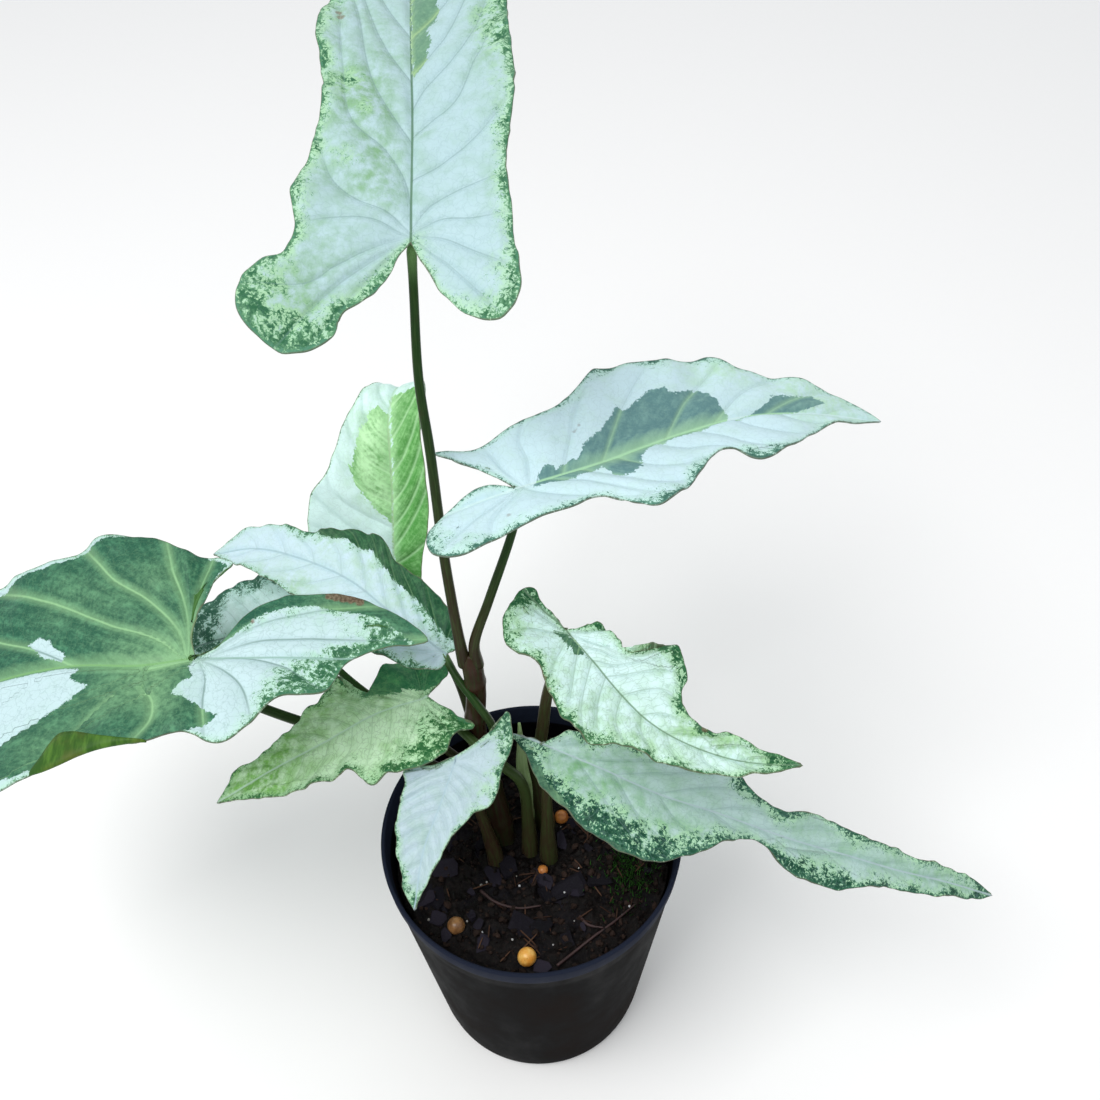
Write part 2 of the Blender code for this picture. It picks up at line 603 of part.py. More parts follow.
def join_chips(soil):
    """Bark chips half sunk in the mix and joined to it."""
    dice = random.Random(CHIP_SEED)
    chips = bpy.data.collections.new("chips")
    bpy.context.scene.collection.children.link(chips)
    placed = []
    while len(placed) < CHIP_COUNT:
        angle = dice.uniform(0, math.tau)
        reach = CHIP_SPREAD * math.sqrt(dice.random())
        place = Vector((math.cos(angle) * reach, math.sin(angle) * reach, 0))
        size = dice.uniform(*CHIP_LENGTHS)
        turn = dice.uniform(0, math.tau)
        tilt = dice.uniform(-CHIP_TILT, CHIP_TILT)
        busy = [Vector((*BEADS[name][0], 0)) for name in BEADS] + placed + STEM_FEET
        if min((place - other).length for other in busy) < CHIP_SPACING:
            continue
        placed.append(place)
        mesh = bpy.data.meshes.new("chip")
        form = bmesh.new()
        frame = Matrix.Translation(Vector((*place.xy, soil_height(*place.xy) + CHIP_LIFT)) * MM)
        frame = frame @ Matrix.Rotation(turn, 4, "Z") @ Matrix.Rotation(tilt, 4, "X")
        frame = frame @ Matrix.Diagonal((size * MM, size * CHIP_WIDTH_SHARE * MM, CHIP_THICKNESS * MM, 1.0))
        bmesh.ops.create_cube(form, size=1.0, matrix=frame)
        form.to_mesh(mesh)
        form.free()
        chips.objects.link(bpy.data.objects.new("chip_%02d" % len(placed), mesh))
    joiner = soil.modifiers.new("chips", "BOOLEAN")
    joiner.operation = "UNION"
    joiner.solver = "EXACT"
    joiner.operand_type = "COLLECTION"
    joiner.collection = chips
    apply_modifiers(soil)
    for chip in list(chips.objects):
        bpy.data.objects.remove(chip)
    bpy.data.collections.remove(chips)


def apply_modifiers(target):
    """Replace an object's mesh with the shape that its modifiers give."""
    bpy.context.view_layer.update()
    graph = bpy.context.evaluated_depsgraph_get()
    target.data = bpy.data.meshes.new_from_object(target.evaluated_get(graph))
    target.modifiers.clear()


def build_stems(paints):
    """The main stem, a petiole for each leaf and the rolled new leaf."""
    add_object("stem", tube_mesh("stem", STEM_ROUTE, STEM_RADII, STEM_SIDES), paints["stem"])
    collar = clearance("stem_clearance", STEM_ROUTE, STEM_RADII, STEM_SIDES)
    hide_helper(collar)
    tubes = {}
    for letter in BLADES:
        route = petiole_route(letter)
        spec = PETIOLES[letter]
        radii = (spec["base"], spec["base"] * 0.6 + spec["top"] * 0.4, spec["top"])
        name = "petiole_" + letter
        petiole = add_object(name, tube_mesh(name, route, radii), paints["petiole"])
        if route[0][2] > SOIL_LEVEL:
            cut(petiole, collar)
        else:
            tubes[letter] = (route, radii)
    add_object("new_leaf", tube_mesh("new_leaf", SPIKE_ROUTE, SPIKE_RADII), paints["spike"])
    tubes["new_leaf"] = (SPIKE_ROUTE, SPIKE_RADII)
    return tubes, collar


def clearance(name, route, radii, sides=8):
    """A tube wider than a stem by the gap that touching pieces keep."""
    points = [Vector(point) for point in route]
    start = points[0] - (points[1] - points[0]).normalized()
    end = points[-1] + (points[-1] - points[-2]).normalized() * GAP
    wide = tuple(radius + GAP for radius in radii)
    return add_object(name, tube_mesh(name, [start] + points + [end], wide, sides), smooth=False)


def ball_mesh(name, radius, centre):
    """A round ball at its place."""
    mesh = bpy.data.meshes.new(name)
    form = bmesh.new()
    bmesh.ops.create_icosphere(form, subdivisions=2, radius=radius * MM, matrix=Matrix.Translation(centre))
    form.to_mesh(mesh)
    form.free()
    return mesh


def build_beads(paints, soil):
    """Round feed beads, each resting in a dimple of the mix."""
    for name, (place, radius, shade) in BEADS.items():
        centre = Vector((*place, soil_height(*place) + radius * 0.45)) * MM
        add_object(name, ball_mesh(name, radius, centre), paints[shade])
        cut(soil, add_object(name + "_dimple", ball_mesh(name + "_dimple", radius + GAP, centre)))


def main():
    for old in list(bpy.data.objects):
        bpy.data.objects.remove(old)
    paints = {
        "pot": material("pot_plastic", (0.018, 0.019, 0.022), 0.55),
        "soil": material("potting_mix", (0.022, 0.014, 0.011), 0.95),
        "leaf": material("leaf_white_green", (0.55, 0.68, 0.56), 0.5),
        "dark_leaf": material("leaf_green", (0.07, 0.16, 0.08), 0.5),
        "petiole": material("petiole_green", (0.05, 0.09, 0.045), 0.5),
        "stem": material("stem_brown", (0.09, 0.045, 0.03), 0.6),
        "spike": material("new_leaf_green", (0.42, 0.55, 0.33), 0.5),
        "yellow": material("bead_yellow", (0.85, 0.4, 0.06), 0.35),
        "orange": material("bead_orange", (0.7, 0.26, 0.05), 0.35),
        "brown": material("bead_brown", (0.45, 0.19, 0.06), 0.4),
    }
    build_pot(paints["pot"])
    soil = build_soil(paints["soil"])
    for letter, spec in BLADES.items():
        add_blade(letter, spec, paints["dark_leaf" if letter == "e" else "leaf"])
    tubes, collar = build_stems(paints)
    cut(soil, collar)
    for name, (route, radii) in tubes.items():
        cut(soil, clearance(name + "_hole", route, radii))
    build_beads(paints, soil)


main()
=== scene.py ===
"""Finished look of the potted three kings syngonium.

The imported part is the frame, in metres, with -Y as the front of the plant. The plant's sizes
below are in millimetres and repeat the named values that its solids were made from. A blade's
flat coordinates run along its midrib from the joint to the tip, and to the left of it.
"""

import math
import random

import bmesh
import bpy
import numpy as np
from mathutils import Matrix, Vector, noise


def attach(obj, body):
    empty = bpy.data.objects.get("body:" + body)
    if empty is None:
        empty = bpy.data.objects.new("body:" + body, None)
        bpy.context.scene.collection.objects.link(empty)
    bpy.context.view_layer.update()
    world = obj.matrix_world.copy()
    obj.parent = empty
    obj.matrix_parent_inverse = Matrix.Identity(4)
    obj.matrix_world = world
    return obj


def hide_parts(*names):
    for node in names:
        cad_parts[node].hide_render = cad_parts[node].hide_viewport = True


bl_info = {
    "name": "Potted three kings syngonium",
    "version": (1, 0, 0),
    "blender": (4, 5, 0),
    "location": "3D View > Sidebar > Plant",
    "description": "Builds a young variegated arrowhead plant in its nursery pot",
    "category": "Add Mesh",
}

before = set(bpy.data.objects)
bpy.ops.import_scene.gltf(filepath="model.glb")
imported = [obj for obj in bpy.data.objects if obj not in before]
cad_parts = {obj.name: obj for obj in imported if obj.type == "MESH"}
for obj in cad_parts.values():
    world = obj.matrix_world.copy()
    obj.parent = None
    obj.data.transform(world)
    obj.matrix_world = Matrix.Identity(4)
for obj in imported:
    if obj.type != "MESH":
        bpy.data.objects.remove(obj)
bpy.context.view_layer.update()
MM = 0.001

# pot and mix, as in the solids
RIM_RADIUS = 40.0
POT_HEIGHT = 86.0
BASE_RADIUS = 31.3
WALL = 1.1
FLOOR = 1.6
BAND_HEIGHT = 5.6
BAND_STEP = 0.8
FOOT_BEVEL = 2.0
LIP_ROUND = 0.4
DRAIN_HOLES = 6
DRAIN_RADIUS = 3.6
DRAIN_CIRCLE = 19.0
SOIL_LEVEL = 75.0
SOIL_LUMP = 1.6
GAP = 0.3
UNDER_BAND = POT_HEIGHT - BAND_HEIGHT
UNDER_BAND_RADIUS = RIM_RADIUS - BAND_STEP
BEVEL_STEPS = 6
MIX_RINGS = 110

# Blades, as in the solids. Heading, rise, bank and fold are in degrees, twist in degrees for 100 mm. Arch,
# hook (from hook_at on) and back (behind the joint) are curvatures, in thousandths of a radian for each mm.
STEP_ALONG = 5.6
CURVE_PARTS = 12
WAVES_PER_MARGIN = 7
WAVE_PHASE = {"left": 0.7, "right": 2.9}
SIDES = {"left": 1, "right": -1}
NOTCH = (-1.5, 0.0)
BLADES = {
    "a": dict(
        joint=(-18.6, 47.6, 236), heading=91, rise=20, bank=0, arch=4, fold=10, wave=0.9, tip=(112, 2),
        left_core=(-18, 20), right_core=(-14, -13),
        left_side=((101, 9), (89, 16.5), (74, 21), (60, 22), (47, 20), (34, 19), (20, 21), (9, 23.5)),
        left_outer=((0, 23), (-5.5, 25), (-7, 28.5), (-13, 32.2), (-20, 32), (-25.5, 27)),
        left_inner=((-27, 20.5), (-24, 15), (-18.5, 13), (-15.5, 9), (-11, 5), (-5, 2.5)),
        right_side=((101, -7), (89, -15.5), (73, -21), (58, -21.5), (42, -22.5), (29, -21.5), (17, -20)),
        right_outer=((4, -20.5), (-8, -21.5), (-16.5, -21.5), (-21.5, -17.5)),
        right_inner=((-20, -12), (-15, -7), (-10, -4), (-5, -1.5)),
        midrib=((0, 0), (30, 0), (60, 1), (90, 2), (112, 2)),
    ),
    "b": dict(
        joint=(1.4, 29.2, 184), heading=20, rise=3, bank=0, arch=4.5, fold=10, wave=0.8, tip=(101, 4.5),
        left_core=(-5, 8), right_core=(-17, -6.5),
        left_side=((94, 11.5), (86, 16), (79, 19.3), (70, 21.5), (63, 24.8), (58.5, 27.8), (50, 27),
                   (40, 28), (31, 28.3), (23, 23.5), (14, 18.8)),
        left_outer=((6, 17), (-1, 15), (-8, 15), (-15, 16.2)),
        left_inner=((-12, 13), (-7, 8), (-3, 2.8)),
        right_side=((92, 3), (81, 1), (72, -3.5), (62, -9), (54, -11), (49, -6.5), (43, -7.5), (38, -12),
                    (30, -18), (24, -20.5), (20, -17), (14, -11.5)),
        right_outer=((6, -13), (-4, -13), (-12, -14), (-19, -15.5), (-24, -12)),
        right_inner=((-24.3, -7), (-20.5, -1.5), (-14, 2), (-8, 3), (-3.5, 1.6)),
        midrib=((0, 0), (20, 0.5), (40, 4), (62, 7.5), (82, 7), (101, 4.5)),
    ),
    "c": dict(
        joint=(-37.1, 65, 120.2), heading=95, rise=70, bank=-10, arch=5, hook=80, hook_at=38, fold=14,
        wave=0.4, tip=(82, -5), left_core=(-8, 9), right_core=(-6.5, -5),
        left_side=((74, -2), (65, 0), (56, 3), (49, 6), (42, 9.3), (35, 12.7), (29, 15.5), (23, 20.3),
                   (15, 22)),
        left_outer=((5, 21.5), (-5, 19), (-13, 14)),
        left_inner=((-12, 8.5), (-8, 4), (-4, 1.5)),
        right_side=((74, -7.5), (65, -9.5), (56, -10.5), (46, -11.5), (34, -12), (24, -12.6), (16, -12.2),
                    (9, -10.8)),
        right_outer=((3, -9), (-4, -8), (-10, -7.5)),
        right_inner=((-10, -4.5), (-7, -2), (-4, -0.8)),
        midrib=((0, 0), (24, -2), (44, -2.5), (82, -5)),
    ),
    "d": dict(
        joint=(-20.5, 23.1, 134), heading=146, rise=14, bank=-16, arch=8, fold=6, wave=0.8, tip=(80, 9),
        left_core=(0.8, 2.4), right_core=(0.6, -2.4),
        left_side=((70, 9), (60, 8.5), (50, 8.5), (38, 9.5), (26, 11), (16, 10.5)),
        left_outer=((9, 9.5), (4, 8), (-1, 5.5)),
        left_inner=((-2.5, 4), (-2.5, 2)),
        right_side=((77, 2), (72, -3), (63, -7), (53, -8.7), (47, -11.5), (40, -15), (32, -16), (24, -13),
                    (15, -12)),
        right_outer=((8, -11), (2, -8), (-1.5, -5)),
        right_inner=((-2.5, -3.5), (-2.5, -2)),
        midrib=((0, 0), (17, -1), (32, -2.5), (50, -1), (67, 2.5), (80, 9)),
    ),
    "e": dict(
        joint=(-77, 10.6, 150), heading=178, rise=-3, bank=-4, arch=8, back=3, fold=8, twist=-8, wave=0.9,
        tip=(101, -4), left_core=(-43, -8.5), right_core=(2, -17),
        left_side=((93, 8), (79, 20), (63, 29), (49, 34), (37, 33), (29, 28), (24, 22.8), (14, 22.5),
                   (6, 23.8)),
        left_outer=((-3, 21), (-12, 24), (-18, 20), (-24, 12.5), (-32, 10.5), (-37, 1), (-45, -3),
                    (-55, -5)),
        left_inner=((-51, -9), (-41, -15.5), (-30, -17), (-20, -16), (-11, -10.5), (-6, -3)),
        right_side=((93, -13), (80, -23), (68, -29), (57, -30.8), (46, -31.7), (35, -33), (27, -35.5),
                    (17, -34.8), (10, -32)),
        right_outer=((4.5, -28.5), (-1, -27.3), (-6.5, -25.2)),
        right_inner=((-3, -20.8), (-1.2, -16), (0.3, -11), (0.4, -5)),
        midrib=((0, 0), (12, 1), (30, -1.5), (54, -3), (80, -4), (101, -4)),
    ),
    "f": dict(
        joint=(-61.7, 46.5, 118), heading=188, rise=-4, bank=0, arch=6, fold=6, wave=0.6, tip=(48, 0),
        left_core=(-4.5, 6.5), right_core=(-4.5, -6.5),
        left_side=((40, 7), (30, 12), (18, 14), (7, 14)),
        left_outer=((-1, 13), (-8, 10)),
        left_inner=((-8.5, 6), (-5, 2.5)),
        right_side=((40, -7), (30, -14), (22, -16.5), (12, -19.5), (4, -16.5)),
        right_outer=((-2, -13.5), (-8, -10)),
        right_inner=((-8.5, -6), (-5, -2.5)),
        midrib=((0, 0), (24, -1.5), (48, 0)),
    ),
    "h": dict(
        joint=(-26.8, 19.7, 119), heading=208, rise=4, bank=0, arch=8, fold=4, wave=0.8, tip=(57, -3),
        left_core=(-2.5, 9.5), right_core=(-3, -7),
        left_side=((49, 2), (41, 6.5), (35.5, 8.8), (29, 9.8), (24.5, 11), (21.5, 17), (14, 18)),
        left_outer=((8, 19.5), (3, 19), (-1.5, 15), (-8, 14)),
        left_inner=((-5.5, 10), (-3.5, 4.5)),
        right_side=((50, -7), (42, -7.5), (36, -8.5), (30, -10.5), (23, -13), (17, -16.5), (15, -11),
                    (13, -8.3)),
        right_outer=((10, -9.7), (4, -13.5), (-3, -12.5), (-8, -9.5)),
        right_inner=((-9.5, -5.5), (-6.5, -2.5), (-3.5, -1)),
        midrib=((0, 0), (12, -1.5), (27, -1), (42, -2), (57, -3)),
    ),
    "i": dict(
        joint=(-17.8, 1.2, 118), heading=250, rise=-26, bank=0, arch=7, fold=6, wave=0.5, tip=(37, 0),
        left_core=(-6, 6.5), right_core=(4, -5.5),
        left_side=((30, 1.5), (22, 3.5), (16, 5.5), (11, 8.5), (8, 12), (3.5, 13)),
        left_outer=((-2, 12.3), (-7.5, 13), (-12, 11.5), (-15, 9)),
        left_inner=((-10, 7), (-6, 4)),
        right_side=((34, -3), (28, -6.3), (21, -9), (14, -10.5), (9, -10.5)),
        right_outer=((6.5, -11.3), (4.8, -12)),
        right_inner=((3.6, -9), (2, -4.5)),
        midrib=((0, 0), (11, -0.5), (23, -1.5), (37, 0)),
    ),
    "j": dict(
        joint=(11.3, 14.3, 150), heading=-48, rise=-8, bank=0, arch=-2, fold=5, twist=6, wave=0.9,
        tip=(59, 13), left_core=(2.2, 3), right_core=(-11.5, -4.5),
        left_side=((54, 11.5), (48, 9), (42.5, 7), (37, 4.6), (32, 4.5), (28.7, 8), (25, 12.8), (19, 16),
                   (15.8, 11.5), (12.5, 6.8)),
        left_outer=((8, 7.5), (3.5, 7)),
        left_inner=((1, 4.3), (-0.7, 1.7)),
        right_side=((56, 7.5), (51, 1.5), (46, -3.5), (40, -7.3), (33, -10), (28, -12.8), (23, -16.5),
                    (16, -17.3), (8.5, -14.5)),
        right_outer=((2, -12), (-5, -13.5), (-11, -11.5), (-15, -6), (-16.2, 0)),
        right_inner=((-14, 2), (-8.5, 1), (-4.5, 0.4)),
        midrib=((0, 0), (9, -1), (18, -2.3), (28, -2.8), (37, -1), (48, 4), (59, 13)),
    ),
    "k": dict(
        joint=(5.2, 6.7, 115), heading=-26, rise=-2, bank=14, arch=6, fold=8, wave=0.9, tip=(129, 21),
        left_core=(2.2, 2.5), right_core=(-3.5, -2.5),
        left_side=((118, 21.3), (106, 18.7), (92, 16), (80, 14), (69, 13.5), (61.5, 10.5), (54, 10),
                   (48, 12.8), (36, 12.5), (24, 11), (13, 7.5)),
        left_outer=((7.5, 6.5), (3.2, 5.5)),
        left_inner=((0.8, 3.2), (-0.7, 1.3)),
        right_side=((123, 17), (114, 13.7), (103, 8.8), (92, 5.5), (83, 0.3), (74, -3), (66, -3.5),
                    (57, 0), (50, -3), (44, -9.5), (36, -15.5), (27, -18), (18, -16), (9, -13)),
        right_outer=((2, -10), (-4, -4.5), (-10, -0.5)),
        right_inner=((-7, -0.2), (-4, 0.6)),
        midrib=((0, 0), (15, 0), (30, 0), (45, 2), (64, 4.5), (80, 8), (95, 11.5), (112, 16.5), (129, 21)),
    ),
}

# Finer form of the blades: wavelengths and reach of the margin's small bends, wavelengths and height of the
# slow swelling, where along a blade its plain lateral veins start, how far they are drawn on past their two
# ends, and the least and most room between two veins.
CRINKLES = ((17.0, 0.30), (10.3, 0.26), (6.1, 0.20), (3.9, 0.12))
SWELL_LENGTHS = (31, 19, 13, 8.5, 6.1)
SWELL_HEIGHT = 0.22
VEIN_SHARES = (0.82, 0.69, 0.56, 0.44, 0.33, 0.23, 0.14, 0.06)
VEIN_BEYOND = 30
ROOM_LEAST = 0.5
ROOM_MOST = 14
MARGIN_POINTS = 360

# Lateral veins that show clearly, from the tip back. The others follow vein_routes.
VEINS = {
    ("a", "left"): (
        ((80, 1.5), (90, 6), (99, 8)), ((62, 1), (75, 7), (90, 12)),
        ((44, 0), (58, 7), (76, 12), (92, 15)), ((25, 0), (35.5, 5.4), (46.5, 9.5), (71, 13.4), (86, 17)),
        ((7, 0), (15, 1.5), (22.4, 5.3), (30, 12.5), (50, 15.5), (76, 18)),
        ((1.8, 1), (5, 4), (9.3, 12.2), (13.5, 16), (21, 18.5)),
        ((0.4, 1), (3.4, 7), (3.6, 14), (2.2, 22)),
        ((-0.5, 0.8), (-2.5, 6), (-7.5, 14), (-12, 20), (-13, 30)),
        ((-1, 0.6), (-6, 7), (-12, 14), (-20, 21), (-25, 25)),
        ((-1.2, 0.4), (-8, 6), (-16, 12), (-24, 18)),
    ),
    ("a", "right"): (
        ((80, 1.5), (90, -4), (99, -6)), ((62, 1), (74, -6), (90, -12)), ((47, 0.5), (60, -7), (76, -12)),
        ((35.4, 0), (42, -2.6), (49, -7.3), (58, -12.7), (69, -15.6)),
        ((26.7, 0), (31, -4.1), (36, -9.3), (48.7, -13.7), (60, -18)),
        ((14.4, 0), (17, -5), (23, -12.5), (28.3, -17)), ((2, -0.5), (7, -4), (10.5, -11), (12, -17)),
        ((1, -0.7), (3.4, -6), (2.5, -13), (2.5, -19)), ((0, -0.9), (-1.5, -7), (-6, -14), (-9, -19)),
        ((-0.8, -0.6), (-7, -7), (-14, -13), (-19, -17)),
    ),
    ("b", "left"): (
        ((84, 7), (91, 9), (96, 10)), ((66, 7.4), (77, 12), (88, 14)), ((51, 6), (62, 14), (74, 19)),
        ((37, 3.5), (46, 13), (56, 21), (61, 25)), ((19.6, 0.5), (26, 9), (31, 15.5), (38, 23), (42, 27)),
        ((10, 0.2), (15, 9), (20, 18), (24, 22)), ((2, 0.5), (4, 7), (4, 12), (6, 16)),
        ((0, 1), (-2, 6), (-3, 11), (-4, 14)), ((-1, 1), (-5, 7), (-9, 11), (-14, 15)),
    ),
    ("e", "left"): (
        ((78, -4), (86, 2), (92, 5)), ((58, -3), (68, 6), (80, 14)),
        ((35, -2), (48, 7), (60, 17), (68, 24)),
        ((9.3, 1.4), (16.5, 5.8), (21.7, 7.7), (33.3, 14.3), (45, 22), (52, 31)),
        ((9.8, 2), (12.7, 6.2), (16.7, 11.2), (22.3, 19.4), (25, 24)),
        ((10, 3), (8.6, 8), (5.4, 13), (4.6, 18), (7, 23)), ((-3, 1.4), (-5, 6), (-6, 13.2), (-8, 21)),
        ((-3.4, 0.8), (-9, 4), (-14, 9), (-18, 18)), ((-3.6, 0.4), (-12, 0), (-22, 3), (-30, 8)),
        ((-3.8, 0), (-14, -4), (-26, -5), (-38, -5), (-53, -5.4)),
        ((-4, -0.4), (-14, -8), (-26, -12), (-38, -14)),
    ),
    ("e", "right"): (
        ((78, -4), (86, -9), (92, -12)), ((56, -3), (66, -11), (76, -19)),
        ((30, -1.5), (44, -9), (58, -15), (70, -22)),
        ((1.5, -0.2), (6.9, -4.6), (12.5, -7.4), (20.1, -10), (27, -13.5), (38.4, -19.7), (50, -25)),
        ((0.8, -0.4), (3.4, -6.7), (8.5, -12.6), (14.2, -17.5), (22.1, -22.6), (28, -29)),
        ((0.5, -0.8), (1.8, -9), (4.6, -17), (8, -24), (10, -30)),
        ((0.3, -1), (0.6, -9), (0.8, -17), (-1, -25)),
    ),
}

# Markings of a blade, and below what each blade has of its own. Colours are as seen. Clusters of green and
# soft clouds: x, y, radius, amount. Patches are outlines of solid green, and with inside_out of what stays
# pale. Scars: x, y, radius. A halo is the reach of the fresh green beside the midrib.
COMMON_LOOK = dict(
    crinkle=1.0, dark=(0.20, 0.37, 0.29), mid=(0.36, 0.54, 0.42), fresh=(0.66, 0.82, 0.60),
    fringe=(0.70, 0.87, 0.71), speck=(0.18, 0.40, 0.27), speck_light=(0.45, 0.66, 0.49), rim=1.3,
    rim_colour=(0.27, 0.50, 0.38), streaks=3.4, flush=0.6, glow=0.8, halo_from=(-9.0, -8.0),
    # vein and the vein line strength give grey-blue lines on the lateral veins: partly the veins' own colour,
    # partly painted shade in their grooves
    halo_to=(131.0, 130.0), vein_halo=0.5, vein=(0.46, 0.58, 0.58), vein_width=0.30, vein_line_and_shade=0.32,
    thread=0.17, rib_green=(0.66, 0.80, 0.62), dryness=0.6, back=(0.46, 0.58, 0.42), back_share=0.5,
    green=(), clouds=(), patches=(), scars=(), inside_out=False,
)
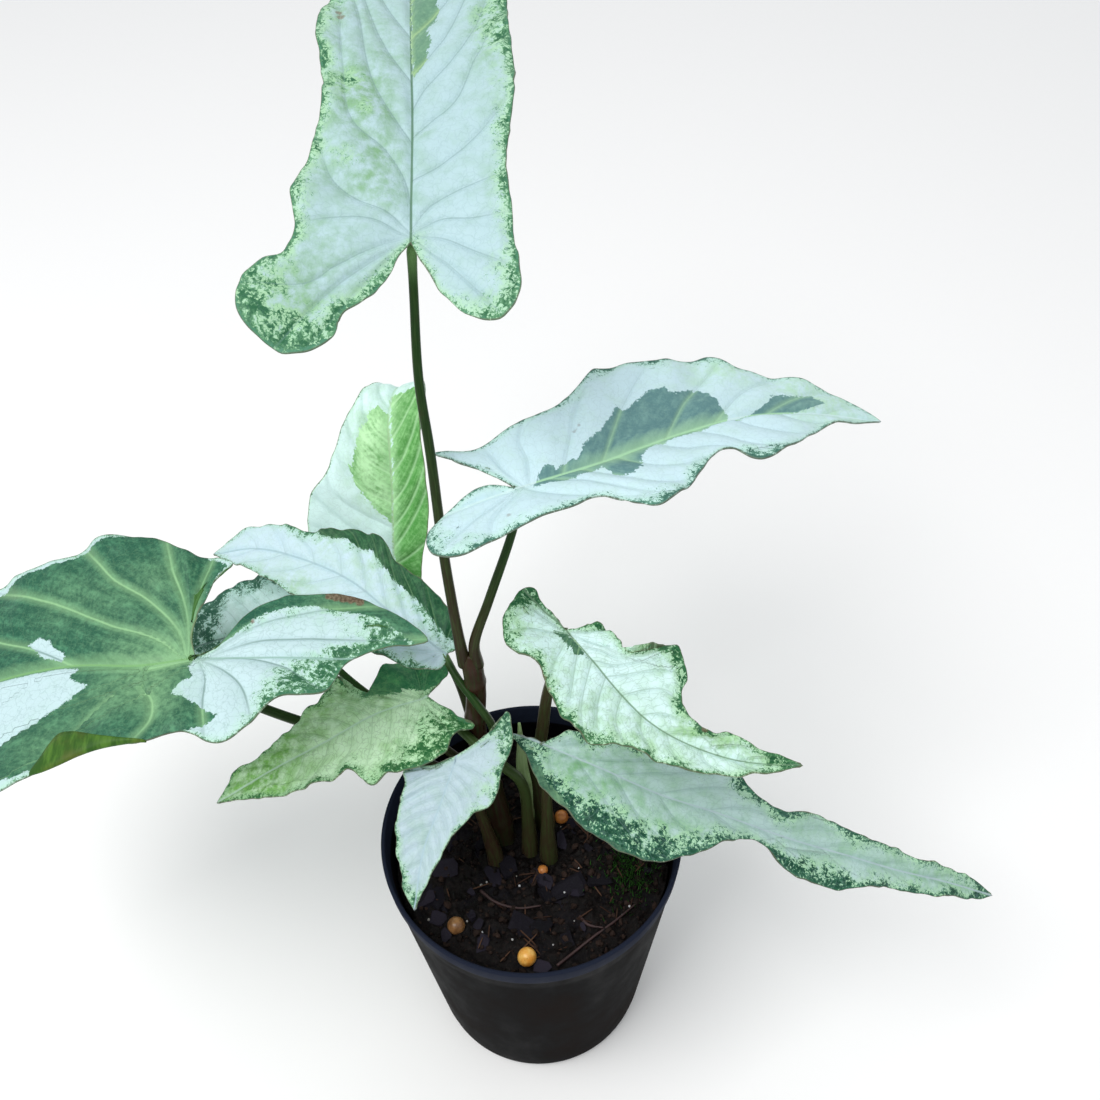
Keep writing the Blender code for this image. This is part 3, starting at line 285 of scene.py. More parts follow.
LOOKS = {
    "a": dict(
        crinkle=0.55, pale=(0.7, 0.81, 0.835), cloud=(0.51, 0.68, 0.53), cloud_amount=0.25, band=1.5,
        rim=1.0, rib_width=0.45, vein_line_and_shade=0.45, vein=(0.42, 0.54, 0.54), rim_colour=(0.34, 0.57, 0.46),
        rib=(0.3, 0.46, 0.34), halo=1.3, glow=0.5, fresh=(0.64, 0.78, 0.56), dark=(0.38, 0.55, 0.46),
        mid=(0.5, 0.67, 0.55),
        green=((-14, 31, 7, 0.52), (-25, 26, 8, 0.62), (-26, 18, 5, 0.5), (-19, -18, 6, 0.35),
               (-8, -21, 7, 0.26), (8, -21, 6, 0.26), (25, -21, 6, 0.26), (40, -21, 6, 0.22),
               (55, -21, 7, 0.38), (66, -20, 8, 0.42), (84, -17, 7, 0.3), (6, 23, 6, 0.2),
               (22, 19, 5, 0.16), (38, 19, 5, 0.18), (50, 21, 6, 0.25), (66, 20, 6, 0.2),
               (80, 18, 6, 0.2), (-2, 26, 5, 0.28), (34, 9, 3, 0.4), (43, 13, 3.5, 0.44),
               (19, 12, 3, 0.32), (-18, 13, 4, 0.35), (-12, 7, 3, 0.3)),
        clouds=((43, 12, 7, 0.75), (34, 8, 6, 0.75), (22, 6, 5, 0.6), (12, 9, 6, 0.6), (54, 5, 4, 0.4),
                (48, 7, 8, 0.3), (26, 10, 10, 0.3), (14, 4, 7, 0.25), (62, 6, 8, 0.25), (-8, 12, 9, 0.35),
                (8, 3, 4, 0.25), (28, -2, 2, 0.6), (-16, 22, 8, 0.35), (45, -15, 6, 0.35),
                (30, 18, 7, 0.4), (60, -16, 5, 0.4), (0, 20, 8, 0.4), (-18, 28, 10, 0.7), (70, 8, 7, 0.3),
                (86, 15, 7, 0.5), (70, 18, 7, 0.6), (56, 19, 6, 0.6), (42, 18, 6, 0.5), (16, 19, 6, 0.5),
                (84, -15, 6, 0.4), (68, -18, 6, 0.6), (52, -18, 6, 0.4), (32, -19, 6, 0.3),
                (12, -18, 6, 0.2), (-20, 27, 8, 0.4)),
        patches=(((100, 1), (94, -4), (84, -5.4), (77.5, -5), (67.1, -4.6), (64.1, -2.9), (57.7, -3.6),
                  (51.4, -2.6), (46, 0), (60, 1), (80, 1.7)),),
        scars=((67, 17, 0.9), (69, 17.6, 0.8)),
    ),
    "b": dict(
        crinkle=0.3, pale=(0.785, 0.89, 0.925), cloud=(0.7, 0.85, 0.74), cloud_amount=0.25, band=0.9,
        rim=0.8, flush=0.1, rib_width=0.55, rib=(0.8, 0.9, 0.9), halo=3.4, fresh=(0.65, 0.82, 0.66),
        dark=(0.36, 0.52, 0.53), mid=(0.48, 0.64, 0.62), streaks=2.2, rib_green=(0.68, 0.86, 0.7),
        halo_from=(4.0, 24.0), halo_to=(62.0, 57.0), vein_line_and_shade=0.22, fringe=(0.72, 0.88, 0.83),
        rim_colour=(0.3, 0.48, 0.44), speck=(0.2, 0.4, 0.34), speck_light=(0.4, 0.6, 0.52), dryness=0.4,
        green=((-22, -9, 5, 0.4), (-14, -14, 4, 0.35), (-4, -13, 4, 0.3), (6, -13, 4, 0.25),
               (26, -19, 5, 0.42), (38, -11, 4, 0.3), (58, -10, 5, 0.38), (52, -9, 4, 0.3),
               (30, 27, 4, 0.25), (57, 28, 4, 0.35), (44, 27, 4, 0.25), (20, 22, 4, 0.2)),
        clouds=((88, 8, 14, 0.7), (62, 22, 6, 0.8), (50, 24, 8, 0.4), (78, 14, 9, 0.5)),
        patches=(((2.1, -1.5), (5.6, 2.6), (8.2, 3.2), (8.6, 1.6), (12.6, 3.2), (14, 2.4), (17.7, 6.5),
                  (22.6, 8.8), (29.4, 16), (29.8, 13.6), (37.7, 17.3), (42.3, 17.9), (42.6, 16),
                  (51.2, 17.1), (54.1, 12.9), (55.5, 9.6), (55.1, 6.3), (42.5, 2.9), (32.6, 1.5),
                  (27.8, -1.9), (26.8, -5.6), (23, -7), (20.1, -5.8), (18.7, -1.7), (10, -2.6)),
                 ((56.6, 6), (64.5, 8.9), (70.9, 12.9), (82.1, 12.7), (85, 9.8), (82, 9), (75.2, 7.5),
                  (65.1, 7.2))),
        scars=((17, 11, 0.5), (18.5, 12, 0.4), (-6, -9, 0.5)),
    ),
    "c": dict(
        crinkle=0.3, pale=(0.88, 0.99, 0.985), cloud=(0.72, 0.88, 0.76), cloud_amount=0.2, band=0.3,
        rib_width=0.6, rib=(0.74, 0.88, 0.78), halo=3.0, glow=0.5, fresh=(0.8, 0.98, 0.77),
        dark=(0.34, 0.62, 0.3), mid=(0.58, 0.83, 0.53), vein_line_and_shade=0.14, vein_halo=0.3, flush=0.9,
        clouds=((50, 0, 10, 0.4), (40, 3, 5, 1.0), (31, 4, 6, 1.0), (21, 2, 5, 1.0)),
        patches=(((50, -2.5), (43.5, -3.2), (34.2, -3.3), (23.2, -2.4), (7.5, -0.4), (-6, -1), (-14, -8),
                  (0, -14), (34.5, -16), (52, -13)),
                 ((46, 0.5), (44.6, 2.6), (42.3, 3.6), (37.8, 6.2), (29.8, 8.8), (26.1, 8), (20.3, 4.9),
                  (16.1, 1.2), (13, -1), (23, -2.2), (34, -3), (44, -2.6))),
    ),
    "d": dict(
        crinkle=0.8, pale=(0.81, 0.905, 0.95), cloud=(0.66, 0.82, 0.66), cloud_amount=0.2, band=0.8,
        rib_width=0.5, rib=(0.66, 0.77, 0.8), dark=(0.11, 0.3, 0.2), mid=(0.25, 0.47, 0.31), streaks=2.6,
        vein_line_and_shade=0.25, flush=0.15, rim_colour=(0.2, 0.42, 0.32), fringe=(0.72, 0.88, 0.83),
        green=((48, -10, 4, 0.35), (38, -12, 4, 0.45), (28, -12, 4, 0.4), (20, -9, 4, 0.35),
               (11, -8, 5, 0.45), (4, -5, 5, 0.45), (12, 10, 3, 0.5), (5, 7, 3, 0.4), (56, -8, 4, 0.35),
               (20, 10.5, 3, 0.3)),
        clouds=((45, -9, 5, 0.5), (30, -9, 6, 0.5), (45, 7, 6, 0.7), (58, 7, 5, 0.4), (34, 8, 6, 0.4),
                (18, -6, 5, 0.4)),
        patches=(((54, -14), (49, -9.0), (45, -9.6), (40, -11.4), (35, -11.0), (32, -12), (26, -9.8),
                  (19, -8.0), (12, -7.0), (6, -5), (1, -3.4), (-6, -4), (-4, -12), (20, -20), (46, -20)),),
    ),
    "e": dict(
        crinkle=0.5, pale=(0.77, 0.87, 0.89), cloud=(0.62, 0.8, 0.66), cloud_amount=0.1, band=0.7,
        rib_width=0.45, rib=(0.58, 0.72, 0.68), halo=3.2, glow=0.55, fresh=(0.6, 0.79, 0.58),
        dark=(0.12, 0.34, 0.26), mid=(0.31, 0.55, 0.42), rib_green=(0.5, 0.7, 0.46), streaks=2.0,
        vein_halo=0.9, vein_line_and_shade=0.7, vein_width=0.42, thread=0.34, vein=(0.4, 0.53, 0.5),
        fringe=(0.74, 0.9, 0.82), inside_out=True, dryness=0.8, back=(0.22, 0.4, 0.12), back_share=0.85,
        green=((-22, -15, 4, 0.4), (-32, -15, 5, 0.6), (-42, -12, 5, 0.65), (-50, -8, 5, 0.6),
               (-29, 9, 6, 0.55), (-36, 2, 5, 0.5), (-23, 12, 6, 0.45), (-44, -2, 4, 0.55),
               (-31, 3, 6, 0.28), (-24, 4, 5, 0.2), (-38, -1, 5, 0.35), (-12, -10, 4, 0.45),
               (-16, 19, 4, 0.2), (-20, -10, 4, 0.2), (-48, -5, 5, 0.4)),
        clouds=((-30, -14, 5, 0.4), (-44, -6, 6, 0.3), (4, -3, 8, 0.7), (8, 7, 7, 0.7), (2, 14, 6, 0.5),
                (18, 12, 7, 0.5), (30, 22, 8, 0.4), (16, -2, 7, 0.5), (22, -18, 9, 0.3),
                (10, -22, 7, 0.4), (36, -20, 8, 0.3)),
        patches=(((-1, -1), (-0.5, 2.9), (-2.1, 5.4), (0.4, 7.4), (1.4, 10.8), (-1.6, 11.6), (-5.7, 14.4),
                  (-10.5, 17.2), (-8.2, 19), (-3.1, 21.6), (-4, 40), (-60, 30), (-70, 2), (-56, -1.5),
                  (-50.5, -5.5), (-45, -9.5), (-40, -11.6), (-33, -12.6), (-27, -13.6), (-21, -13.4),
                  (-15.5, -10.8), (-11.5, -8), (-8.4, -4.8), (-4.5, -2)),
                 ((62, -2.6), (52.4, -2), (31.9, -0.6), (26.8, 0.7), (29.2, 2.9), (22.6, 6.4),
                  (33.3, 14.3), (42, 20), (54, 22), (66, 14)),
                 ((45.2, -10), (41.5, -11), (38.1, -9.6), (35, -6.5), (32.9, -5.1), (33.7, -3.2),
                  (39.1, -5.1)),
                 ((14, -40), (16, -34.8), (22, -35), (27, -34.6), (31, -32.8), (36, -31.6), (41, -30.4),
                  (48, -30.6), (56, -28.8), (64, -27.4), (70, -24.6), (80, -26), (60, -40)),
                 ((26.8, 26), (29.3, 26.9), (33, 29.2), (37, 30), (44, 30.8), (54, 29.6), (62, 27),
                  (66, 31), (50, 40), (30, 34)),
                 ((3, -29.5), (-1, -26.8), (-5.2, -24.4), (-2.8, -20.6), (-1, -16.4), (-3, -15),
                  (-6, -20), (-9, -26), (-2, -31))),
        scars=((-30.5, -16.2, 0.8), (-32.2, -16.2, 1.1), (-34, -16.2, 1.2), (-36, -16, 1.2),
               (-38, -15.4, 1.0), (-13.5, -9.2, 0.4)),
    ),
    "f": dict(
        crinkle=0.6, pale=(0.88, 0.99, 0.99), cloud=(0.62, 0.8, 0.74), cloud_amount=0.45, band=1.4,
        rib_width=0.5, rib=(0.4, 0.52, 0.5), vein_line_and_shade=0.25, speck=(0.16, 0.38, 0.3),
        speck_light=(0.36, 0.56, 0.46), rim=2.2, fringe=(0.72, 0.88, 0.84), rim_colour=(0.18, 0.4, 0.32),
        green=((20, 11, 7, 0.4), (30, -12, 6, 0.5), (6, 12, 5, 0.4), (13, -17, 5, 0.5), (36, 8, 6, 0.5),
               (29, -3, 5, 0.75), (24, 3, 5, 0.75), (25, -8, 4, 0.45), (24, -15, 4, 0.6), (5, -16, 4, 0.4)),
        clouds=((20, 8, 8, 0.5), (30, 4, 6, 0.4)),
    ),
    "h": dict(
        pale=(0.84, 0.965, 0.83), cloud=(0.5, 0.74, 0.37), cloud_amount=0.24, band=1.0, rim=0.8,
        rib_width=0.5, rib=(0.78, 0.9, 0.82), vein=(0.36, 0.54, 0.36), vein_width=0.2,
        speck=(0.14, 0.38, 0.2), dark=(0.18, 0.44, 0.3), mid=(0.36, 0.65, 0.42), thread=0.5,
        speck_light=(0.36, 0.58, 0.36),
        green=((6, 18, 5, 0.6), (-4, 14, 5, 0.6), (16, 16, 4, 0.45), (0, 9, 4, 0.4), (24, 9, 3, 0.3),
               (34, 8, 3, 0.25), (8, 12, 6, 0.3), (48, 2, 3, 0.25), (20, -15, 4, 0.2), (2, 4, 5, 0.25)),
        clouds=((22, -10, 8, 0.6), (36, -6, 9, 0.65), (50, -3, 10, 0.9), (10, -4, 5, 0.4),
                (44, 3, 7, 0.6), (4, 16, 5, 0.4), (30, 4, 7, 0.25), (14, 12, 6, 0.3)),
        patches=(((13.4, -7.6), (9, -5.8), (3, -4.2), (-2, -2), (-7, -2.4), (-14, -6), (-10, -16),
                  (4, -18), (12, -12)),),
        scars=((4, 18, 0.4),),
    ),
    "i": dict(
        crinkle=0.5, pale=(0.75, 0.83, 0.87), cloud=(0.62, 0.76, 0.68), cloud_amount=0.3, band=0.5,
        rim=0.7, rib_width=0.4, rib=(0.68, 0.78, 0.82), vein_line_and_shade=0.3, thread=0.26,
        speck=(0.12, 0.34, 0.24),
        green=((-8, 12, 4, 0.45), (-12, 10, 4, 0.5), (0, 12, 4, 0.35), (7, 10, 4, 0.3), (36, 0, 4, 0.45),
               (22, -9, 3, 0.25), (30, -5, 3, 0.25), (14, 6, 3, 0.2)),
        clouds=((34, 0, 6, 0.6), (6, 9, 5, 0.4), (20, -4, 6, 0.3)),
        patches=(((4.6, -13), (5.4, -10.4), (3.4, -8), (1.6, -3), (-1, -1), (-4, -2), (2, -12)),),
    ),
    "j": dict(
        crinkle=1.1, pale=(0.84, 0.95, 0.95), cloud=(0.56, 0.75, 0.5), cloud_amount=0.28, band=1.1,
        rim=0.9, rib_width=0.38, rib=(0.42, 0.55, 0.44), thread=0.42, vein_line_and_shade=0.4,
        vein=(0.36, 0.5, 0.4), speck=(0.1, 0.34, 0.2), speck_light=(0.36, 0.58, 0.38),
        rim_colour=(0.2, 0.44, 0.28),
        green=((-14, -3, 4, 0.4), (-15.5, 0, 3, 0.9), (-10, -11, 4, 0.35), (0, -12, 4, 0.35),
               (8, -15, 4, 0.3), (16, -17, 4, 0.3), (24, -15, 4, 0.3), (32, -10, 4, 0.3),
               (42, -6, 4, 0.3), (56, 11, 5, 0.4), (24, 13, 4, 0.4), (18, 15, 4, 0.35), (30, 6, 3, 0.35),
               (2, 6, 3, 0.35), (38, 5, 3, 0.3), (-6, -5, 5, 0.12)),
        clouds=((20, -9, 7, 0.4), (30, -6, 7, 0.4), (36, 2, 5, 0.7), (44, 6, 6, 0.7), (52, 9, 6, 0.45),
                (4, -10, 5, 0.4), (22, 11, 5, 0.4), (-10, -8, 5, 0.4)),
        patches=(((-3, -2.4), (-0.8, -0.6), (2, -0.2), (6, -0.9), (7, -1.4), (3.6, -3.2), (1.6, -2.4)),),
        scars=((2.7, -12, 0.5), (5, -13.2, 0.7), (8, -14.4, 0.5), (38.4, 4.4, 0.6)),
    ),
    "k": dict(
        crinkle=0.9, pale=(0.71, 0.82, 0.81), cloud=(0.51, 0.7, 0.53), cloud_amount=0.45, band=1.2,
        rib_width=0.45, rib=(0.7, 0.78, 0.8), speck=(0.08, 0.27, 0.2), thread=0.36, vein_line_and_shade=0.35,
        dark=(0.13, 0.31, 0.26), mid=(0.3, 0.51, 0.42), rim=1.1, speck_light=(0.27, 0.5, 0.38),
        rim_colour=(0.16, 0.38, 0.28),
        green=((-4, -5, 5, 0.55), (6, -11, 5, 0.7), (15, -14, 5, 0.75), (25, -15, 6, 0.8),
               (34, -12, 5, 0.65), (42, -8, 4, 0.55), (47, -4, 4, 0.4), (20, -9, 6, 0.25),
               (62, -1, 4, 0.4), (71, -2, 5, 0.65), (80, 0, 5, 0.55), (90, 5, 4, 0.4), (102, 9, 4, 0.35),
               (114, 14, 4, 0.35), (124, 19, 5, 0.45), (36, 12, 4, 0.45), (48, 11, 4, 0.45),
               (60, 10, 4, 0.4), (80, 13, 4, 0.3), (22, 10, 5, 0.4), (10, 6, 4, 0.4)),
        clouds=((10, -5, 9, 0.7), (30, -8, 10, 0.5), (42, -4, 8, 0.3), (70, 8, 9, 0.3),
                (100, 13, 12, 0.5), (120, 18, 10, 0.7), (20, 6, 8, 0.4)),
        patches=(((-8, -3.4), (-2, -4.4), (4, -9), (9, -11.8), (14, -14.6), (20, -16), (27, -17),
                  (36, -17), (20, -22), (0, -16), (-10, -8)),),
    ),
}

# The broad leaf's front margin has rolled up: the fold, the free edge over the blade, and where it starts.
CURL_FOLD = ((4, 23.4), (8.2, 23.9), (13.9, 24.8), (18.1, 26.1), (22.3, 27.8), (26.2, 28.8), (29.8, 28.9))
CURL_EDGE = ((4, 23.2), (8.4, 23), (14.7, 21.9), (21, 20.2), (24, 20.3), (25.8, 22.8), (27.4, 26),
             (29.8, 28.6))
CURL_START = ((4, 22.4), (14, 21), (22, 21), (26.4, 24.6), (29.8, 28))
CURL_STEPS = 60
CURL_TURNS = 14
CURL_HEIGHT = 2.8

# stalks, as in the solids
STEM_RADII = (3.4, 3.3, 3.0, 2.9, 2.7, 2.6)
STEM_ROUTE = (
    (-7.5, 3.5, 66), (-8.5, 4.8, 82), (-11, 10, 97), (-13.3, 14.8, 112),
    (-12.4, 16.5, 126), (-12.8, 17, 140),
)
PETIOLES = {
    "a": dict(route=((-14.5, 17.2, 136), (-15.2, 17.9, 146), (-17, 24.4, 166), (-18.3, 33, 192),
                     (-19.4, 38, 207.5), (-18.9, 44.1, 225.5)), base=1.35, top=0.95),
    "b": dict(route=((-11.2, 16.8, 136), (-11.6, 17.2, 143.5), (-7.4, 20.8, 155.5), (-1, 26, 173.5)),
              base=1.3, top=0.95),
    "c": dict(route=((-12, 11.5, 99), (-15.2, 22, 105), (-19, 33, 108.5), (-25.5, 45, 112.5),
                     (-32.5, 57, 116.5)), base=1.2, top=0.9),
    "d": dict(route=((-9.6, 8.8, 95), (-8.2, 9.8, 104), (-8.2, 10.4, 112), (-8.9, 10.2, 120.8),
                     (-11.9, 12, 126.2), (-16.8, 17.6, 130)), base=1.2, top=1.0),
    "e": dict(route=((-9.6, 7, 91), (-22, 12, 96), (-42, 17.5, 103.5), (-59.8, 20.6, 109),
                     (-69.8, 21.8, 114.4), (-76.5, 19, 125), (-78.5, 14, 138)), base=1.5, top=1.2),
    "f": dict(route=((-10.5, 9, 94), (-20, 15.5, 98.5), (-32, 23.5, 102.5), (-43.1, 30.5, 106.3),
                     (-50.3, 35.5, 109.8), (-57, 41.5, 113.5)), base=1.2, top=0.9),
    "h": dict(route=((-0.8, -0.8, 66), (-0.6, 0.3, 78), (-0.9, 2.6, 90), (-1.2, 4, 98), (-2.8, 4.6, 103.9),
                     (-5.9, 5.2, 108), (-11.4, 8.2, 111.6), (-17.2, 13, 114.4), (-23, 17.2, 116.4)),
              base=1.7, top=1.1),
    "i": dict(route=((-10.5, -3.8, 66), (-9.9, -2.9, 76), (-11.3, -1.7, 86), (-13.2, -0.6, 98),
                     (-16, 0.6, 110)), base=1.7, top=1.1),
    "j": dict(route=((4.2, 6.4, 66), (3.5, 8, 78), (1.6, 11.5, 86.9), (1.1, 14.5, 96.4), (3.1, 15.5, 103.7),
                     (5.9, 15, 128), (9.8, 14.6, 143.5)), base=2.1, top=1.2),
    "k": dict(route=((4.6, -2.4, 66), (4.4, -1.6, 80), (4.4, 1, 95), (4.8, 4.2, 107)), base=1.9, top=1.2),
}
SPIKE_ROUTE = ((-0.9, 4.6, 66), (-0.9, 5, 80), (-1.1, 7.2, 94), (-1.7, 9.2, 100), (-1.9, 11.6, 108),
               (-2, 13.2, 116))
SPIKE_RADII = (1.6, 1.6, 1.7, 1.9, 1.3, 0.35)
BEADS = {
    "bead_front": ((-1.8, -30.6), 2.5, "bead_yellow"),
    "bead_left": ((-20.2, -21.3), 2.4, "bead_brown"),
    "bead_middle": ((8.1, 8.9), 2.0, "bead_orange"),
    "bead_inner": ((2.6, -6.6), 1.5, "bead_orange"),
}
STEM_FEET = ((-8, 4), (3.8, 7.5), (-10, -3), (4.5, -2), (-0.7, 0), (-0.9, 5))

BEAD_TINTS = {
    "bead_yellow": ((0.90, 0.60, 0.22), (0.97, 0.76, 0.40)),
    "bead_orange": ((0.62, 0.36, 0.16), (0.78, 0.50, 0.24)),
    "bead_brown": ((0.45, 0.31, 0.19), (0.62, 0.45, 0.28)),
}
BEAD_RISE = 0.45

# loose pieces on the mix: how far out they lie, and their darkest and lightest colour as seen
CHIP_REACH = 36.0
CRUMB_REACH = 36.4
FIBRE_REACH = 32.0
GRIT_REACH = 34.0
MOSS_REACH = 35.5
MOSS_MIDDLE = (26, -7)
MOSS_SPREAD = (3.8, 5.0)
MOSS_SHOOTS = 520
STEM_ROOM = 4.0
LOOSE_COLOURS = {
    "bark": ((0.05, 0.047, 0.062), (0.17, 0.155, 0.20)),
    "crumb": ((0.05, 0.04, 0.04), (0.20, 0.15, 0.13)),
    "fibre": ((0.16, 0.10, 0.08), (0.32, 0.23, 0.18)),
    "pale_grit": ((0.55, 0.53, 0.50), (0.85, 0.86, 0.88)),
    "moss": ((0.06, 0.15, 0.05), (0.20, 0.38, 0.14)),
}
ROOTS = (
    ((5.8, -32.8), (10, -29.5), (15, -26), (21, -22), (26, -17.6), (28, -16)),
    ((12, -20), (14, -22.5), (18, -24)),
    ((-14, -12), (-10, -15.5), (-4, -17), (2, -16.5)),
)
ROOT_RADII = (0.42, 0.36, 0.22)
ROOT_RISE = 0.75

# camera, worked out from the pot's rim and foot, and light
CAMERA_PLACE = (7.2, -155.0, 359.9)
CAMERA_PITCH = 46.9
CAMERA_ROLL = -1.75
CAMERA_LENS = 36.0 * 1150 / 1100
FLOOR_RADIUS = 1600.0
LAMP_PLACE = (-0.35, -0.25, 1.0)
LAMP_AIM = (0, 0, 0.1)
LAMP_SIZE = (0.55, 0.45)
LAMP_COLOUR = (1.0, 0.99, 0.97)
SKY_COLOUR = (0.97, 0.985, 1.0, 1.0)


class BladeSettings(bpy.types.PropertyGroup):
    """Sizes and colours that all blades share."""
    thickness: bpy.props.FloatProperty(
        name="Thickness", description="Thickness of a blade away from its midrib, in millimetres",
        default=0.42, min=0.2, max=0.64)
    ridge: bpy.props.FloatProperty(
        name="Midrib ridge", description="Thickness of a blade at its midrib, in millimetres",
        default=1.3, min=0.4, max=2.0)
    detail: bpy.props.IntProperty(
        name="Detail", description="Rows of the finished blade for each row of its solid",
        default=8, min=2, max=12)
    puff: bpy.props.FloatProperty(
        name="Puff", description="Height that a blade bulges between its veins, in millimetres",
        default=0.8, min=0.0, max=1.0)
    groove: bpy.props.FloatProperty(
        name="Groove", description="Depth of a lateral vein in the upper face, in millimetres",
        default=0.36, min=0.0, max=0.5)
    speck: bpy.props.FloatProperty(
        name="Speckle", description="How strongly the margins are speckled", default=1.0, min=0.0, max=2.0)


class StalkSettings(bpy.types.PropertyGroup):
    """Colours of the stalks and the stem."""
    green: bpy.props.FloatVectorProperty(
        name="Stalk green", description="Colour of a stalk under its blade", subtype="COLOR",
        size=3, default=(0.012, 0.042, 0.008), min=0.0, max=1.0)
    brown: bpy.props.FloatVectorProperty(
        name="Stem brown", description="Colour of the stem and the feet of the stalks", subtype="COLOR",
        size=3, default=(0.030, 0.019, 0.010), min=0.0, max=1.0)


class PotSettings(bpy.types.PropertyGroup):
    """Look of the nursery pot."""
    plastic: bpy.props.FloatVectorProperty(
        name="Plastic", description="Colour of the pot's wall", subtype="COLOR",
        size=3, default=(0.002, 0.002, 0.0025), min=0.0, max=1.0)
    # the rim band's lighter bluish colour is painted reflection of the sky
    band: bpy.props.FloatVectorProperty(
        name="Rim band", description="Colour of the band under the rim", subtype="COLOR",
        size=3, default=(0.015, 0.019, 0.034), min=0.0, max=1.0)
    steps: bpy.props.IntProperty(
        name="Steps", description="Steps round the pot", default=160, min=24, max=360)


class MixSettings(bpy.types.PropertyGroup):
    """Make-up of the potting mix."""
    chips: bpy.props.IntProperty(
        name="Bark chips", description="Number of bark chips on the mix", default=64, min=0, max=600)
    crumbs: bpy.props.IntProperty(
        name="Crumbs", description="Number of small crumbs on the mix", default=1500, min=0, max=4000)
    grit: bpy.props.IntProperty(
        name="Grit", description="Number of pale grit specks on the mix", default=26, min=0, max=200)
    seed: bpy.props.IntProperty(
        name="Seed", description="Seed of the loose pieces' places", default=5, min=0)
    colour: bpy.props.FloatVectorProperty(
        name="Mix colour", description="Colour of the damp mix", subtype="COLOR",
        size=3, default=(0.004, 0.003, 0.003), min=0.0, max=1.0)


class StageSettings(bpy.types.PropertyGroup):
    """Floor and light."""
    sky: bpy.props.FloatProperty(
        name="Sky", description="Strength of the even light from all round", default=0.74, min=0.0, max=5.0)
    window: bpy.props.FloatProperty(
        name="Window", description="Power of the large soft light", subtype="POWER", unit="POWER",
        default=5.5, min=0.0)
    floor: bpy.props.FloatVectorProperty(
        name="Floor", description="Colour of the floor", subtype="COLOR",
        size=3, default=(0.985, 0.985, 0.985), min=0.0, max=1.0)


def linear(seen):
    """Turn a colour as seen on a screen into a linear one."""
    return tuple(c / 12.92 if c <= 0.04045 else ((c + 0.055) / 1.055) ** 2.4 for c in seen)


class Value:
    """A number in a material's node tree. Sums with it add nodes."""

    def __init__(self, paint, socket):
        self.paint = paint
        self.socket = socket

    def __add__(self, other):
        return self.paint.math("ADD", self, other)

    def __sub__(self, other):
        return self.paint.math("SUBTRACT", self, other)

    def __rsub__(self, other):
        return self.paint.math("SUBTRACT", other, self)

    def __mul__(self, other):
        return self.paint.math("MULTIPLY", self, other)

    def __truediv__(self, other):
        return self.paint.math("DIVIDE", self, other)

    def __abs__(self):
        return self.paint.math("ABSOLUTE", self)

    def clamped(self):
        """The same number, held between 0 and 1."""
        self.socket.node.use_clamp = True
        return self


